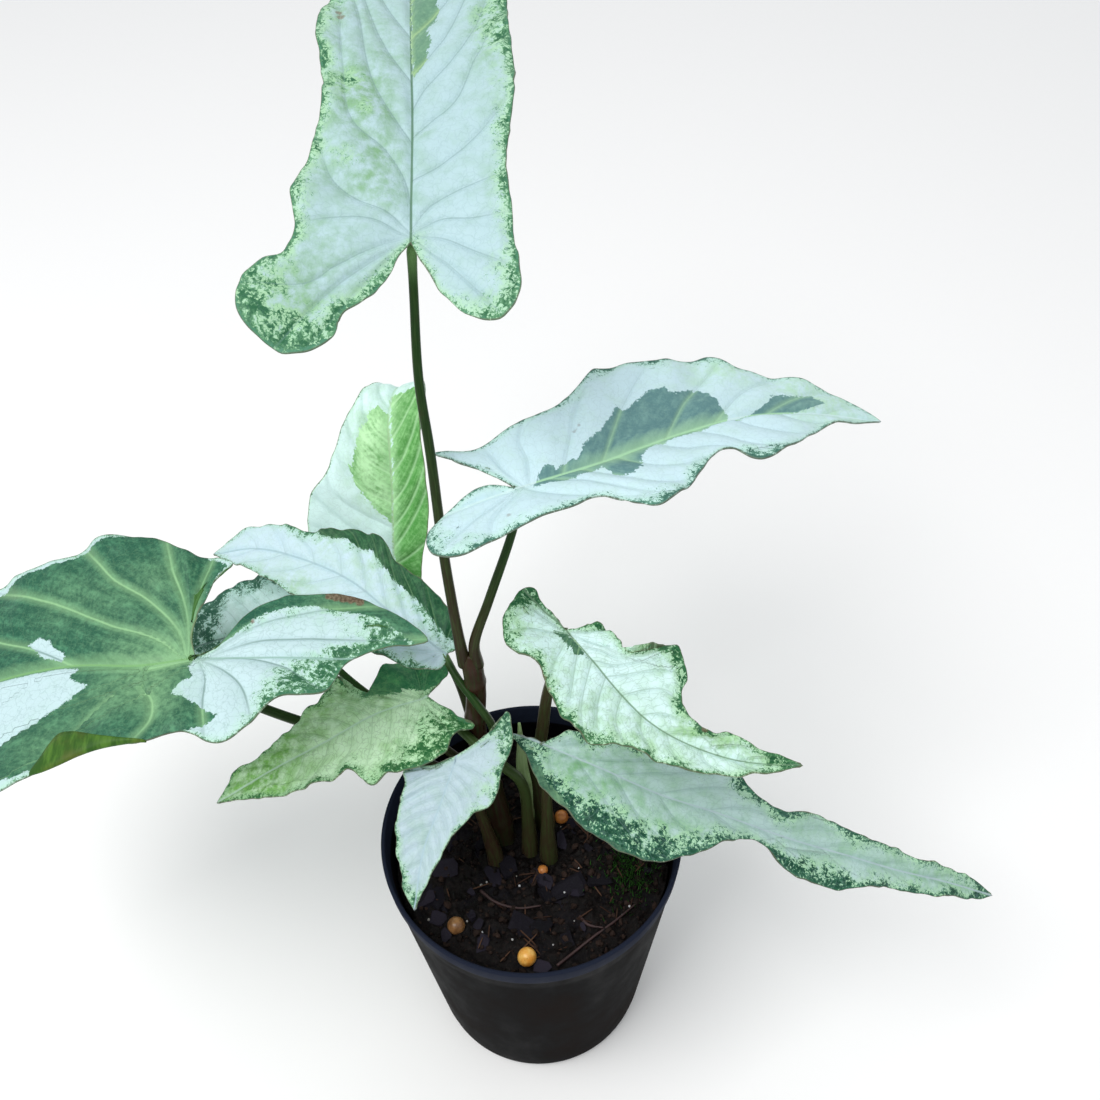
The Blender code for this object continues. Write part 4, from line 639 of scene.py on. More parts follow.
class Paint:
    """A material's node tree, put together one value at a time."""

    def __init__(self, name, roughness=0.5, specular=0.5):
        self.made = bpy.data.materials.new(name)
        self.made.use_nodes = True
        self.tree = self.made.node_tree
        self.shader = self.tree.nodes["Principled BSDF"]
        self.shader.inputs["Roughness"].default_value = roughness
        self.shader.inputs["Specular IOR Level"].default_value = specular

    def put(self, socket, value):
        """Link a value, or set it, on a socket."""
        if isinstance(value, Value):
            self.tree.links.new(value.socket, socket)
        elif isinstance(value, bpy.types.NodeSocket):
            self.tree.links.new(value, socket)
        elif isinstance(value, tuple) and len(value) == 3 and socket.type == "RGBA":
            socket.default_value = (*value, 1.0)
        else:
            socket.default_value = value

    def node(self, kind, **inputs):
        """A node with its inputs filled by name."""
        made = self.tree.nodes.new(kind)
        for name, value in inputs.items():
            self.put(made.inputs[name.replace("_", " ")], value)
        return made

    def place(self):
        """Object coordinates in millimetres."""
        return self.scaled(self.node("ShaderNodeTexCoord").outputs["Object"], 1 / MM)

    def scaled(self, vector, factor):
        """A vector times a number or a vector."""
        made = self.tree.nodes.new("ShaderNodeVectorMath")
        made.operation = "MULTIPLY"
        self.put(made.inputs[0], vector)
        self.put(made.inputs[1], factor if isinstance(factor, tuple) else (factor,) * 3)
        return made.outputs[0]

    def mark(self, name):
        """A vector that the mesh carries."""
        made = self.tree.nodes.new("ShaderNodeAttribute")
        made.attribute_name = name
        return made.outputs["Vector"]

    def parts(self, vector):
        """The three numbers of a vector."""
        made = self.node("ShaderNodeSeparateXYZ", Vector=vector)
        return [Value(self, socket) for socket in made.outputs]

    def joined(self, x, y, z):
        """A vector of three numbers."""
        return self.node("ShaderNodeCombineXYZ", X=x, Y=y, Z=z).outputs[0]

    def math(self, operation, first, second=0.0):
        """One sum."""
        made = self.tree.nodes.new("ShaderNodeMath")
        made.operation = operation
        self.put(made.inputs[0], first)
        self.put(made.inputs[1], second)
        return Value(self, made.outputs[0])

    def step(self, value, low, high):
        """A soft step from 0 at low to 1 at high."""
        made = self.node("ShaderNodeMapRange", From_Min=low, From_Max=high, Value=value)
        made.interpolation_type = "SMOOTHSTEP"
        return Value(self, made.outputs["Result"])

    def mix(self, share, first, second):
        """A blend of two colours."""
        made = self.tree.nodes.new("ShaderNodeMix")
        made.data_type = "RGBA"
        self.put(made.inputs[0], share)
        self.put(made.inputs[6], first)
        self.put(made.inputs[7], second)
        return made.outputs[2]

    def clouds(self, vector, scale, detail=3.0, roughness=0.5):
        """Soft noise about 0.5."""
        made = self.node("ShaderNodeTexNoise", Vector=vector, Scale=scale, Detail=detail,
                         Roughness=roughness)
        return Value(self, made.outputs["Fac"])

    def warped(self, vector, scale, reach):
        """A vector shaken by noise, by up to about half of reach."""
        shake = self.node("ShaderNodeTexNoise", Vector=vector, Scale=scale, Detail=2.0).outputs["Color"]
        made = self.tree.nodes.new("ShaderNodeVectorMath")
        made.operation = "ADD"
        self.put(made.inputs[0], vector)
        self.put(made.inputs[1], self.scaled(shake, reach))
        return made.outputs[0]

    def cells(self, vector, scale):
        """One even random number for each cell of an uneven net."""
        made = self.node("ShaderNodeTexVoronoi", Vector=vector, Scale=scale)
        return self.parts(made.outputs["Color"])[0]

    def net(self, vector, scale):
        """Distance to the nearest wall of an uneven net."""
        made = self.node("ShaderNodeTexVoronoi", Vector=vector, Scale=scale)
        made.feature = "DISTANCE_TO_EDGE"
        return Value(self, made.outputs["Distance"])

    def bump(self, height, strength, distance):
        """Fine relief on the shader's normal, distance in millimetres."""
        made = self.node("ShaderNodeBump", Height=height, Strength=strength, Distance=distance * MM)
        self.put(self.shader.inputs["Normal"], made.outputs["Normal"])

    def finish(self, colour, roughness=None):
        """Fill in the shader and give the material."""
        self.put(self.shader.inputs["Base Color"], colour)
        if roughness is not None:
            self.put(self.shader.inputs["Roughness"], roughness)
        return self.made


def linked(name, content):
    """A new object in the scene."""
    made = bpy.data.objects.new(name, content)
    bpy.context.scene.collection.objects.link(made)
    return made


def piece(name, mesh, paints, slot, *nodes):
    """Link a finished mesh, let it ride on the plant and stand for its solids."""
    made = linked(name, mesh)
    for paint in paints:
        mesh.materials.append(paint)
    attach(made, "root")
    if nodes:
        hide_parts(*nodes)
    return made


def settle(form, mesh):
    """Write a finished form to its mesh, with smooth faces."""
    form.to_mesh(mesh)
    form.free()
    mesh.shade_smooth()


def outward(form):
    """Turn all faces of a form outwards."""
    bmesh.ops.recalc_face_normals(form, faces=form.faces)


def unit_grid(mesh):
    """The vertices' places on the grid that a mesh was made from, each from 0 to 1."""
    places = np.empty(len(mesh.vertices) * 3)
    mesh.vertices.foreach_get("co", places)
    return (places.reshape(-1, 3)[:, :2] + 1) / 2


def corner_vertices(mesh):
    """The vertex of each face corner."""
    corners = np.empty(len(mesh.loops), int)
    mesh.loops.foreach_get("vertex_index", corners)
    return corners


def store(mesh, key, values):
    """Keep one vector for each vertex on the face corners, under a name."""
    layer = mesh.attributes.new(key, "FLOAT_VECTOR", "CORNER")
    layer.data.foreach_set("vector", values[corner_vertices(mesh)].astype(np.float32).ravel())


def stored(mesh, key):
    """The vector that each vertex keeps under a name."""
    corners = corner_vertices(mesh)
    values = np.empty(len(corners) * 3)
    mesh.attributes[key].data.foreach_get("vector", values)
    rows = np.zeros((len(mesh.vertices), 3))
    rows[corners] = values.reshape(-1, 3)
    return rows


def catmull(points, parts=CURVE_PARTS):
    """A centripetal Catmull-Rom curve through points, as rows of coordinates."""
    knots = [np.array(point, float) for point in points]
    padded = [knots[0] * 2 - knots[1]] + knots + [knots[-1] * 2 - knots[-2]]
    dense = []
    for p0, p1, p2, p3 in zip(padded, padded[1:], padded[2:], padded[3:]):
        t1 = np.linalg.norm(p1 - p0) ** 0.5
        t2 = t1 + np.linalg.norm(p2 - p1) ** 0.5
        t3 = t2 + np.linalg.norm(p3 - p2) ** 0.5
        t = t1 + (t2 - t1) * np.arange(parts)[:, None] / parts
        a1 = p0 + (p1 - p0) * t / t1
        a2 = p1 + (p2 - p1) * (t - t1) / (t2 - t1)
        a3 = p2 + (p3 - p2) * (t - t2) / (t3 - t2)
        b1 = a1 + (a2 - a1) * t / t2
        b2 = a2 + (a3 - a2) * (t - t1) / (t3 - t1)
        dense.append(b1 + (b2 - b1) * (t - t1) / (t2 - t1))
    return np.vstack(dense + [knots[-1]])


def even_points(dense, count):
    """Resample a polyline to count points at equal distances."""
    dense = np.asarray(dense, float)
    lengths = np.concatenate([[0], np.cumsum(np.linalg.norm(np.diff(dense, axis=0), axis=1))])
    wanted = np.linspace(0, lengths[-1], count)
    return np.stack([np.interp(wanted, lengths, column) for column in dense.T], axis=1)


def near_route(points, route):
    """Distance from points to a flat route, and whether they lie to its left."""
    start = route[:-1]
    step = route[1:] - start
    apart = points[:, None, :] - start[None]
    length = np.maximum((step ** 2).sum(axis=1), 1e-9)
    share = np.clip((apart * step).sum(axis=2) / length, 0, 1)
    reach = ((apart - share[..., None] * step) ** 2).sum(axis=2)
    nearest = reach.argmin(axis=1)
    rows = np.arange(len(points))
    turn = step[nearest, 0] * apart[rows, nearest, 1] - step[nearest, 1] * apart[rows, nearest, 0]
    return np.sqrt(reach[rows, nearest]), turn > 0


def inside(points, outline):
    """Whether points lie inside a closed flat outline."""
    crossed = np.zeros(len(points), bool)
    for (x1, y1), (x2, y2) in zip(outline, np.roll(outline, -1, axis=0)):
        spans = (y1 > points[:, 1]) != (y2 > points[:, 1])
        crossing = x1 + (points[:, 1] - y1) * (x2 - x1) / (y2 - y1 + 1e-12)
        crossed ^= spans & (points[:, 0] < crossing)
    return crossed


def smooth_step(value, low, high):
    """0 below low, 1 above high, and soft between."""
    share = np.clip((value - low) / (high - low), 0, 1)
    return share * share * (3 - 2 * share)


class Blade:
    """A flat leaf outline bent into its place on the plant."""

    BEHIND = 70
    AHEAD = 140

    def __init__(self, spec, crinkle=0.0):
        self.spec = spec
        self.crinkle = crinkle
        heading, rise, bank = (math.radians(spec[key]) for key in ("heading", "rise", "bank"))
        self.joint = np.array(spec["joint"], float)
        self.along = np.array([
            math.cos(rise) * math.cos(heading), math.cos(rise) * math.sin(heading), math.sin(rise)])
        level = np.array([-math.sin(heading), math.cos(heading), 0])
        upward = np.cross(self.along, level)
        self.across = level * math.cos(bank) + upward * math.sin(bank)
        self.normal = upward * math.cos(bank) - level * math.sin(bank)
        self.fold = math.radians(spec["fold"])
        self.twist = math.radians(spec.get("twist", 0)) / 100
        self.midrib = catmull(spec["midrib"])
        self.steps = np.arange(-self.BEHIND, self.AHEAD + 1)
        turn = self.lean(self.steps[:-1] + 0.5)
        forward = np.concatenate([[0], np.cumsum(np.cos(turn))])
        down = np.concatenate([[0], np.cumsum(-np.sin(turn))])
        self.forward = forward - forward[self.BEHIND]
        self.down = down - down[self.BEHIND]

    def lean(self, x):
        """How far the midrib has turned down at x, in radians."""
        spec = self.spec
        ahead = spec["arch"] * x + spec.get("hook", 0) * np.maximum(0, x - spec.get("hook_at", 0))
        behind = spec.get("back", spec["arch"]) * x
        return np.where(x < 0, behind, ahead) / 1000

    def rib_offset(self, x):
        """Sideways place of the midrib at x."""
        return np.where(x <= 0, 0.0, np.interp(x, self.midrib[:, 0], self.midrib[:, 1]))

    def place(self, flat, lift):
        """Points of the bent blade, in millimetres, for flat coordinates."""
        x, y = flat.T
        forward = np.interp(x, self.steps, self.forward)
        down = np.interp(x, self.steps, self.down)
        turn = self.lean(x)
        offset = y - self.rib_offset(x)
        height = (np.hypot(offset, 1.0) - 1.0) * math.sin(self.fold) + lift
        sideways = y - offset * (1 - math.cos(self.fold))
        roll = self.twist * x
        level = sideways * np.cos(roll) - height * np.sin(roll)
        height = sideways * np.sin(roll) + height * np.cos(roll)
        return (self.joint
                + np.outer(forward + height * np.sin(turn), self.along)
                + np.outer(level, self.across)
                + np.outer(down + height * np.cos(turn), self.normal))

    def half(self, side, detail):
        """Rib and margin points of the rows of one half."""
        spec = self.spec
        joint = (0.0, 0.0)
        core = spec[side + "_core"]
        outline = (spec["tip"], *spec[side + "_side"], *spec[side + "_outer"], *spec[side + "_inner"], NOTCH)
        shoulder = len(spec[side + "_side"])
        lobe_end = shoulder + len(spec[side + "_outer"])
        dense = self.crinkled(catmull(outline), side)
        marks = (0, shoulder * CURVE_PARTS, lobe_end * CURVE_PARTS, len(dense) - 1)
        tip_steps = max(8, round(spec["tip"][0] / STEP_ALONG)) * detail
        lobe_steps = max(3, round(math.hypot(*outline[lobe_end]) / STEP_ALONG)) * detail
        ribs = (self.midrib[::-1], (joint, core), (core, joint))
        rib_rows = []
        edge_rows = []
        for rib, begin, end, steps in zip(ribs, marks, marks[1:], (tip_steps, lobe_steps, lobe_steps)):
            skip = 1 if rib_rows else 0
            rib_rows.append(even_points(rib, steps + 1)[skip:])
            edge_rows.append(even_points(dense[begin:end + 1], steps + 1)[skip:])
        return np.vstack(rib_rows), np.vstack(edge_rows), dense

    def crinkled(self, dense, side):
        """The smooth outline with small uneven bends, none of them at its two ends."""
        dice = random.Random(side + str(self.spec["heading"]))
        step = np.gradient(dense, axis=0)
        length = np.concatenate([[0], np.cumsum(np.linalg.norm(np.diff(dense, axis=0), axis=1))])
        outward = np.stack([step[:, 1], -step[:, 0]], axis=1) / np.linalg.norm(step, axis=1)[:, None]
        bend = np.zeros(len(dense))
        for wavelength, reach in CRINKLES:
            slow = np.sin(length * math.tau / (wavelength * 3.7) + dice.uniform(0, math.tau))
            fast = np.sin(length * math.tau / wavelength + dice.uniform(0, math.tau))
            bend += reach * (0.55 + 0.45 * slow) * fast
        ends = smooth_step(length, 1.0, 7.0) * smooth_step(length[-1] - length, 1.0, 7.0)
        return dense + outward * (bend * ends * self.crinkle)[:, None]


def middle_share(along):
    """0 at both ends of a margin and 1 in its middle."""
    return np.sqrt(np.clip(np.sin(np.pi * along), 0, 1))


def wave_lift(spec, side, along, across):
    """Height of the ruffled margin above the smooth blade."""
    phase = WAVE_PHASE[side]
    angle = WAVES_PER_MARGIN * math.tau * along
    ripple = np.sin(angle + phase) + 0.5 * np.sin(1.7 * angle + 2 * phase)
    return spec["wave"] * ripple * across ** 2 * middle_share(along)


def vein_routes(blade, letter, side):
    """Lateral veins of one half from the tip back, with the midrib at 0 and the half at positive y."""
    spec = blade.spec
    sign = SIDES[side]
    if (letter, side) in VEINS:
        routes = [np.array(route, float) for route in VEINS[letter, side]]
        for route in routes:
            route[:, 1] = (route[:, 1] - blade.rib_offset(route[:, 0])) * sign
    else:
        margin = np.array((spec["tip"], *spec[side + "_side"], spec[side + "_outer"][0]), float)[::-1]
        wide = (margin[:, 1] - blade.rib_offset(margin[:, 0])) * sign
        length = spec["tip"][0]
        routes = []
        for share in VEIN_SHARES:
            reach = length * (0.12 + 0.12 * (1 - share))
            t = np.array([0, 0.3, 0.6, 0.85, 1.0])
            x = length * share + reach * t
            routes.append(np.stack([x, np.interp(x, margin[:, 0], wide) * t ** 0.8], axis=1))
        core, outer = (np.array(spec[side + key], float) for key in ("_core", "_outer"))
        ends = (margin[1], outer[len(outer) // 2], outer[-1])
        for place, end in enumerate(ends):
            middle = end * 0.5 + core * (0.08 + 0.12 * place)
            routes.append(np.array([(-0.2 * place, 0.2), middle * (1, sign), end * (1, sign)]))
    grown = []
    for route in routes:
        curve = catmull(route, 6)
        before = curve[0] + (curve[0] - curve[1]) / np.linalg.norm(curve[0] - curve[1]) * VEIN_BEYOND
        after = curve[-1] + (curve[-1] - curve[-2]) / np.linalg.norm(curve[-1] - curve[-2]) * VEIN_BEYOND
        grown.append(np.vstack([before, curve, after]))
    return grown


def vein_field(points, routes):
    """A number that is whole on each vein and rises from tip to base, and the room between two veins."""
    found = [near_route(points, route) for route in routes]
    reach = np.array([distance for distance, _ in found])
    passed = np.array([side for _, side in found]).sum(axis=0)
    rows = np.arange(len(points))
    before = np.where(passed > 0, reach[np.maximum(passed - 1, 0), rows], 1e3)
    after = np.where(passed < len(routes), reach[np.minimum(passed, len(routes) - 1), rows], 1e3)
    room = np.clip(before + after, ROOM_LEAST, ROOM_MOST)
    share = np.where(passed == 0, 1 - np.minimum(after / room, 0.5), np.minimum(before / room, 0.5))
    middle = (passed > 0) & (passed < len(routes))
    share = np.where(middle, before / np.maximum(before + after, 1e-6), share)
    return passed - 1 + share, room


def spots(points, marks):
    """Sum of soft round spots, each given by its place, radius and amount."""
    total = np.zeros(len(points))
    for x, y, radius, amount in marks:
        total += amount * np.exp(-((points[:, 0] - x) ** 2 + (points[:, 1] - y) ** 2) / radius ** 2)
    return total


def patch_depth(points, look):
    """How deep points lie inside the blade's solid green, in millimetres."""
    depth = np.full(len(points), -20.0)
    for outline in look["patches"]:
        closed = np.array(outline + outline[:1], float)
        reach, _ = near_route(points, closed)
        depth = np.maximum(depth, np.where(inside(points, closed[:-1]), reach, -reach))
    return -depth if look["inside_out"] else depth


def scar_distance(points, look):
    """Distance to the nearest dry spot's edge, in millimetres."""
    nearest = np.full(len(points), 20.0)
    for x, y, radius in look["scars"]:
        nearest = np.minimum(nearest, np.hypot(points[:, 0] - x, points[:, 1] - y) - radius)
    return nearest


def undulation(points, seed):
    """Slow uneven swelling of a blade, about one millimetre high at most."""
    dice = random.Random(seed)
    total = np.zeros(len(points))
    for wavelength in SWELL_LENGTHS:
        angle = dice.uniform(0, math.tau)
        phase = dice.uniform(0, math.tau)
        run = points[:, 0] * math.cos(angle) + points[:, 1] * math.sin(angle)
        total += wavelength / SWELL_LENGTHS[0] * np.sin(run * math.tau / wavelength + phase)
    return total * SWELL_HEIGHT


def look_of(letter):
    """All markings of a blade."""
    return COMMON_LOOK | LOOKS[letter]


def half_fields(blade, letter, side, settings, grid):
    """Place and markings of one half's vertices, from their places on a unit grid."""
    look = look_of(letter)
    rib_rows, edge_rows, outline = blade.half(side, settings.detail)
    count = len(rib_rows) - 1
    rows = np.rint(grid[:, 0] * count).astype(int)
    across = grid[:, 1]
    flat = rib_rows[rows] + (edge_rows[rows] - rib_rows[rows]) * across[:, None]
    rib = flat[:, 1] - blade.rib_offset(flat[:, 0])
    edge, _ = near_route(flat, even_points(outline, MARGIN_POINTS))
    level = np.stack([flat[:, 0], rib * SIDES[side]], axis=1)
    phase, room = vein_field(level, vein_routes(blade, letter, side))
    share = phase - np.floor(phase)
    vein = np.minimum(share, 1 - share) * room
    away = smooth_step(np.abs(rib), 0.0, 2.0) * smooth_step(edge, 0.0, 3.0)
    lift = wave_lift(blade.spec, side, rows / count, across)
    ruffle = np.sin(rows / count * 97 + 2) + 0.6 * np.sin(rows / count * 163)
    lift += 0.3 * look["crinkle"] * ruffle * across ** 4 * middle_share(rows / count)
    lift += settings.puff * np.sin(np.pi * share) ** 2 * np.clip(room / 10, 0, 1) ** 1.4 * away
    lift -= settings.groove * np.exp(-(vein / 0.75) ** 2) * away
    lift -= 1.6 * settings.groove * np.exp(-(rib / 0.8) ** 2) * smooth_step(edge, 0.0, 2.0)
    lift += undulation(flat, letter) * smooth_step(np.abs(rib), 0.0, 6.0)
    return {
        "co": blade.place(flat, lift) * MM,
        "flat": np.column_stack([flat, np.zeros(len(flat))]),
        "veins": np.column_stack([phase, room, np.full(len(flat), SIDES[side])]),
        "zones": np.column_stack([edge, rib, patch_depth(flat, look)]),
        "marks": np.column_stack([
            spots(flat, look["green"]), spots(flat, look["clouds"]), scar_distance(flat, look)]),
    }


def blade_mesh(letter, settings):
    """The upper face of one blade, with its markings stored on the mesh."""
    blade = Blade(BLADES[letter], look_of(letter)["crinkle"])
    mesh = bpy.data.meshes.new("leaf_" + letter)
    form = bmesh.new()
    columns = 3 * max(4, round(settings.detail * 1.4))
    for side in SIDES:
        count = len(blade.half(side, settings.detail)[0]) - 1
        bmesh.ops.create_grid(form, x_segments=count, y_segments=columns, size=1.0)
        if side == "left":
            halfway = len(form.verts)
    form.to_mesh(mesh)
    form.free()
    grid = unit_grid(mesh)
    halves = [half_fields(blade, letter, side, settings, part)
              for side, part in zip(SIDES, (grid[:halfway], grid[halfway:]))]
    fields = {key: np.vstack([half[key] for half in halves]) for key in halves[0]}
    mesh.vertices.foreach_set("co", fields.pop("co").ravel())
    for key, values in fields.items():
        store(mesh, key, values)
    return blade, mesh


def close_blade(blade, mesh):
    """Join the halves along the midrib and turn the upper face up."""
    form = bmesh.new()
    form.from_mesh(mesh)
    bmesh.ops.remove_doubles(form, verts=form.verts, dist=0.02 * MM)
    bmesh.ops.dissolve_degenerate(form, edges=form.edges, dist=0.01 * MM)
    outward(form)
    near = Vector(blade.joint) * MM
    upward = sum((face.normal * face.calc_area() for face in form.faces
                  if (face.calc_center_median() - near).length < 30 * MM), Vector())
    if upward.dot(Vector(blade.normal)) < 0:
        bmesh.ops.reverse_faces(form, faces=form.faces)
    settle(form, mesh)


def curl_mesh(blade):
    """The rolled-up strip of a blade's margin."""
    mesh = bpy.data.meshes.new("curl")
    form = bmesh.new()
    bmesh.ops.create_grid(form, x_segments=CURL_STEPS, y_segments=CURL_TURNS, size=1.0)
    fold, edge, start = (even_points(catmull(way), CURL_STEPS + 1)
                         for way in (CURL_FOLD, CURL_EDGE, CURL_START))
    for vert in form.verts:
        row = round((vert.co.x + 1) / 2 * CURL_STEPS)
        turn = (vert.co.y + 1) / 2 * math.pi
        base = start[row] if turn < math.pi / 2 else edge[row]
        flat = base + (fold[row] - base) * math.sin(turn)
        height = CURL_HEIGHT * math.sqrt(math.sin(math.pi * row / CURL_STEPS))
        lift = height * (1 - math.cos(turn)) / 2 - 0.5
        vert.co = Vector(blade.place(flat[None], np.array([lift]))[0]) * MM
    bmesh.ops.remove_doubles(form, verts=form.verts, dist=0.01 * MM)
    outward(form)
    settle(form, mesh)
    return mesh


def curl_paint():
    """Olive underside with paler veins."""
    paint = Paint("curled_margin", roughness=0.5, specular=0.2)
    place = paint.place()
    fibre = paint.clouds(paint.scaled(place, (1.0, 0.25, 0.4)), 0.5, 5.0, 0.6)
    blotch = paint.clouds(place, 0.14, 3.0, 0.5)
    colour = paint.mix(paint.step(fibre, 0.40, 0.66), linear((0.17, 0.33, 0.08)), linear((0.30, 0.46, 0.15)))
    colour = paint.mix(paint.step(blotch, 0.45, 0.7) * 0.6, colour, linear((0.38, 0.40, 0.16)))
    paint.bump(fibre, strength=0.4, distance=0.15)
    return paint.finish(colour)


class LeafPaint(Paint):
    """Variegated blade: pale ground, green clouds, speckled margin, solid patches and veins."""

    CELLS = 1.4
    FINE_CELLS = 3.2
    SPECK_SOFTNESS = 0.07
    RIM_SOFTNESS = 0.16
    PATCH_SOFTNESS = 0.10

    def __init__(self, letter, speckle, under):
        name = "leaf_%s_%s" % (letter, "under" if under else "upper")
        super().__init__(name, roughness=0.5, specular=0.2)
        self.look = look_of(letter)
        self.under = under
        self.flat = self.mark("flat")
        self.phase, self.room, side = self.parts(self.mark("veins"))
        self.edge, self.rib, self.patch = self.parts(self.mark("zones"))
        self.green, self.soft, self.scar = self.parts(self.mark("marks"))
        self.vein = self.math("PINGPONG", self.phase, 0.5) * self.room
        self.cluster = self.clouds(self.flat, 0.33, 6.0, 0.65)
        self.fleck = self.clouds(self.flat, 1.9, 3.0, 0.6)
        self.slow = self.clouds(self.flat, 0.11, 3.0, 0.5)
        self.shaken = self.warped(self.flat, 0.6, 1.6)
        self.streak = self.clouds(self.joined(self.phase * 3.2, self.rib * 0.10, side), 2.2, 4.0, 0.6)
        self.grain = (self.cells(self.shaken, self.CELLS) * 0.36
                      + self.cells(self.shaken, self.FINE_CELLS) * 0.26
                      + self.clouds(self.shaken, 1.6, 5.0, 0.7) * 0.42)
        self.patchy = self.step(self.cluster, 0.30, 0.66) * 1.1 + 0.25
        self.dense = self.density(speckle)
        self.solid = self.solid_green()
        self.cross = self.step(self.net(self.warped(self.flat, 0.4, 3.6), 0.42), 0.05, 0.01)

    def tint(self, key):
        """A colour of the look."""
        return linear(self.look[key])

    def density(self, speckle):
        """How dense the green cells stand, most at the margin and in the green clusters."""
        fade = (self.step(self.slow, 0.25, 0.75) + 0.35) * (-self.look["band"] * 1.6)
        near = self.math("EXPONENT", self.edge / fade)
        dense = (near * 0.58 + self.green * self.patchy - 0.06) * speckle
        return self.math("MINIMUM", dense, 0.66)

    def ground(self):
        """Pale blade with green clouds and a soft fringe beside the speckle."""
        pale, cloud = self.tint("pale"), self.tint("cloud")
        veil = self.step(self.clouds(self.flat, 0.16, 4.0, 0.6), 0.42, 0.74) * self.look["cloud_amount"]
        veil = veil + self.soft * self.step(self.cluster, 0.30, 0.66)
        veil = (veil + self.step(self.dense, -0.05, 0.7) * 0.5).clamped()
        ground = self.mix(veil, pale, cloud)
        ground = self.mix(self.step(self.fleck, 0.45, 0.8) * 0.12, ground, cloud)
        fringe = self.step(self.dense, 0.02, 0.40) * self.step(self.grain, 0.30, 0.60)
        return self.mix(fringe * 0.65, ground, self.tint("fringe"))

    def speckled(self, colour):
        """Small cells turn green one by one where the green gets denser, their walls first."""
        wall = self.step(self.net(self.shaken, self.CELLS), 0.15, 0.03)
        sown = self.grain - wall * 0.17
        speck = self.step(self.dense - sown, -self.SPECK_SOFTNESS, self.SPECK_SOFTNESS)
        rim_width = self.green * (self.patchy * self.look["rim"]) + 0.12
        uneven = (self.grain - 0.42) * 2.2
        rim = self.step(self.edge + uneven - rim_width, self.RIM_SOFTNESS, -self.RIM_SOFTNESS)
        depth = self.cluster * 1.2 + (self.dense - self.grain)
        green = self.mix(self.step(depth, 0.35, 0.95), self.tint("speck_light"), self.tint("speck"))
        green = self.mix(rim * 0.6, green, self.tint("rim_colour"))
        return self.mix(self.math("MAXIMUM", speck, rim), colour, green)

    def solid_green(self):
        """Where the solid patches lie, ragged along the lateral veins."""
        ragged = (self.streak - 0.5) * self.look["streaks"] + (self.grain - 0.5) * 1.3
        return self.step(self.patch + ragged, -self.PATCH_SOFTNESS, self.PATCH_SOFTNESS)

    def patched(self, colour):
        """Solid green patches, fresher along their veins where the look has a halo."""
        look = self.look
        dark, mid, fresh = self.tint("dark"), self.tint("mid"), self.tint("fresh")
        tone = self.streak * 0.36 + self.cluster * 0.34 + self.clouds(self.flat, 0.9, 4.0, 0.6) * 0.30
        body = self.mix(self.step(tone, 0.43, 0.68), dark, mid)
        body = self.mix(self.step(self.fleck, 0.48, 0.72) * 0.30, body, mid)
        body = self.mix(self.step(self.grain, 0.45, 0.10) * 0.35, body, dark)
        body = self.mix(self.soft * self.step(tone, 0.3, 0.6) * look["flush"], body, fresh)
        if "halo" in look:
            along, _, _ = self.parts(self.flat)
            wide = (self.streak + 0.5) * look["halo"]
            glow = (1.0 - abs(self.rib) / wide).clamped()
            glow = glow * self.step(along, *look["halo_from"]) * self.step(along, *look["halo_to"])
            body = self.mix(glow * look["glow"], body, fresh)
            body = self.mix(self.step(self.vein, look["vein_halo"] * 2.4, 0.0) * 0.42, body, fresh)
        return self.mix(self.solid, colour, body)

    def veined(self, colour):
        """Fine net of veins, lateral veins and midrib; the lateral vein lines are partly the veins' own
        colour and partly painted shade in their grooves.
        """
        look = self.look
        bent = self.phase * 4.0 + self.slow * 5.0 + self.cluster
        small = self.math("PINGPONG", bent, 0.5) * (self.room / 4.0)
        small_line = self.step(small, 0.12, 0.03) * self.step(self.cluster, 0.35, 0.6)
        thread = self.math("MAXIMUM", small_line * 0.7, self.cross * 0.6) * look["thread"]
        thread = thread * (1.0 - self.solid * 0.6)
        fading = self.step(self.edge, 0.0, 9.0) * 0.65 + 0.35
        # lateral vein lines: partly the veins' own colour, partly painted shade in the vein grooves
        vein_and_groove_shade = self.step(self.vein, look["vein_width"], 0.06) * (fading * look["vein_line_and_shade"])
        vein_and_shade_colour = self.mix(self.solid, self.tint("vein"), self.tint("fresh"))
        colour = self.mix(self.math("MAXIMUM", vein_and_groove_shade, thread), colour, vein_and_shade_colour)
        rib_line = self.step(abs(self.rib), look["rib_width"], look["rib_width"] * 0.3) * 0.85
        return self.mix(rib_line, colour, self.mix(self.solid, self.tint("rib"), self.tint("rib_green")))

    def aged(self, colour):
        """Dry brown spots and a thin dry edge."""
        rust = self.mix(self.step(self.fleck, 0.4, 0.6), linear((0.37, 0.24, 0.19)),
                        linear((0.52, 0.42, 0.35)))
        dry = self.scar + (self.grain - 0.5) * 0.6
        colour = self.mix(self.step(dry, 0.3, -0.2) * self.look["dryness"], colour, rust)
        return self.mix(self.step(self.edge, 0.20, 0.05) * 0.5, colour, linear((0.46, 0.42, 0.35)))

    def painted(self):
        """The finished material."""
        colour = self.aged(self.veined(self.patched(self.speckled(self.ground()))))
        if self.under:
            colour = self.mix(self.look["back_share"], colour, self.tint("back"))
        relief = (self.fleck * 0.35 + self.step(self.vein, 0.0, 0.9) * 0.8
                  + self.step(self.cross, 1.0, 0.0) * 0.10)
        self.bump(relief, strength=0.9, distance=0.22)
        return self.finish(colour, self.step(self.cluster, -0.8, 1.9))


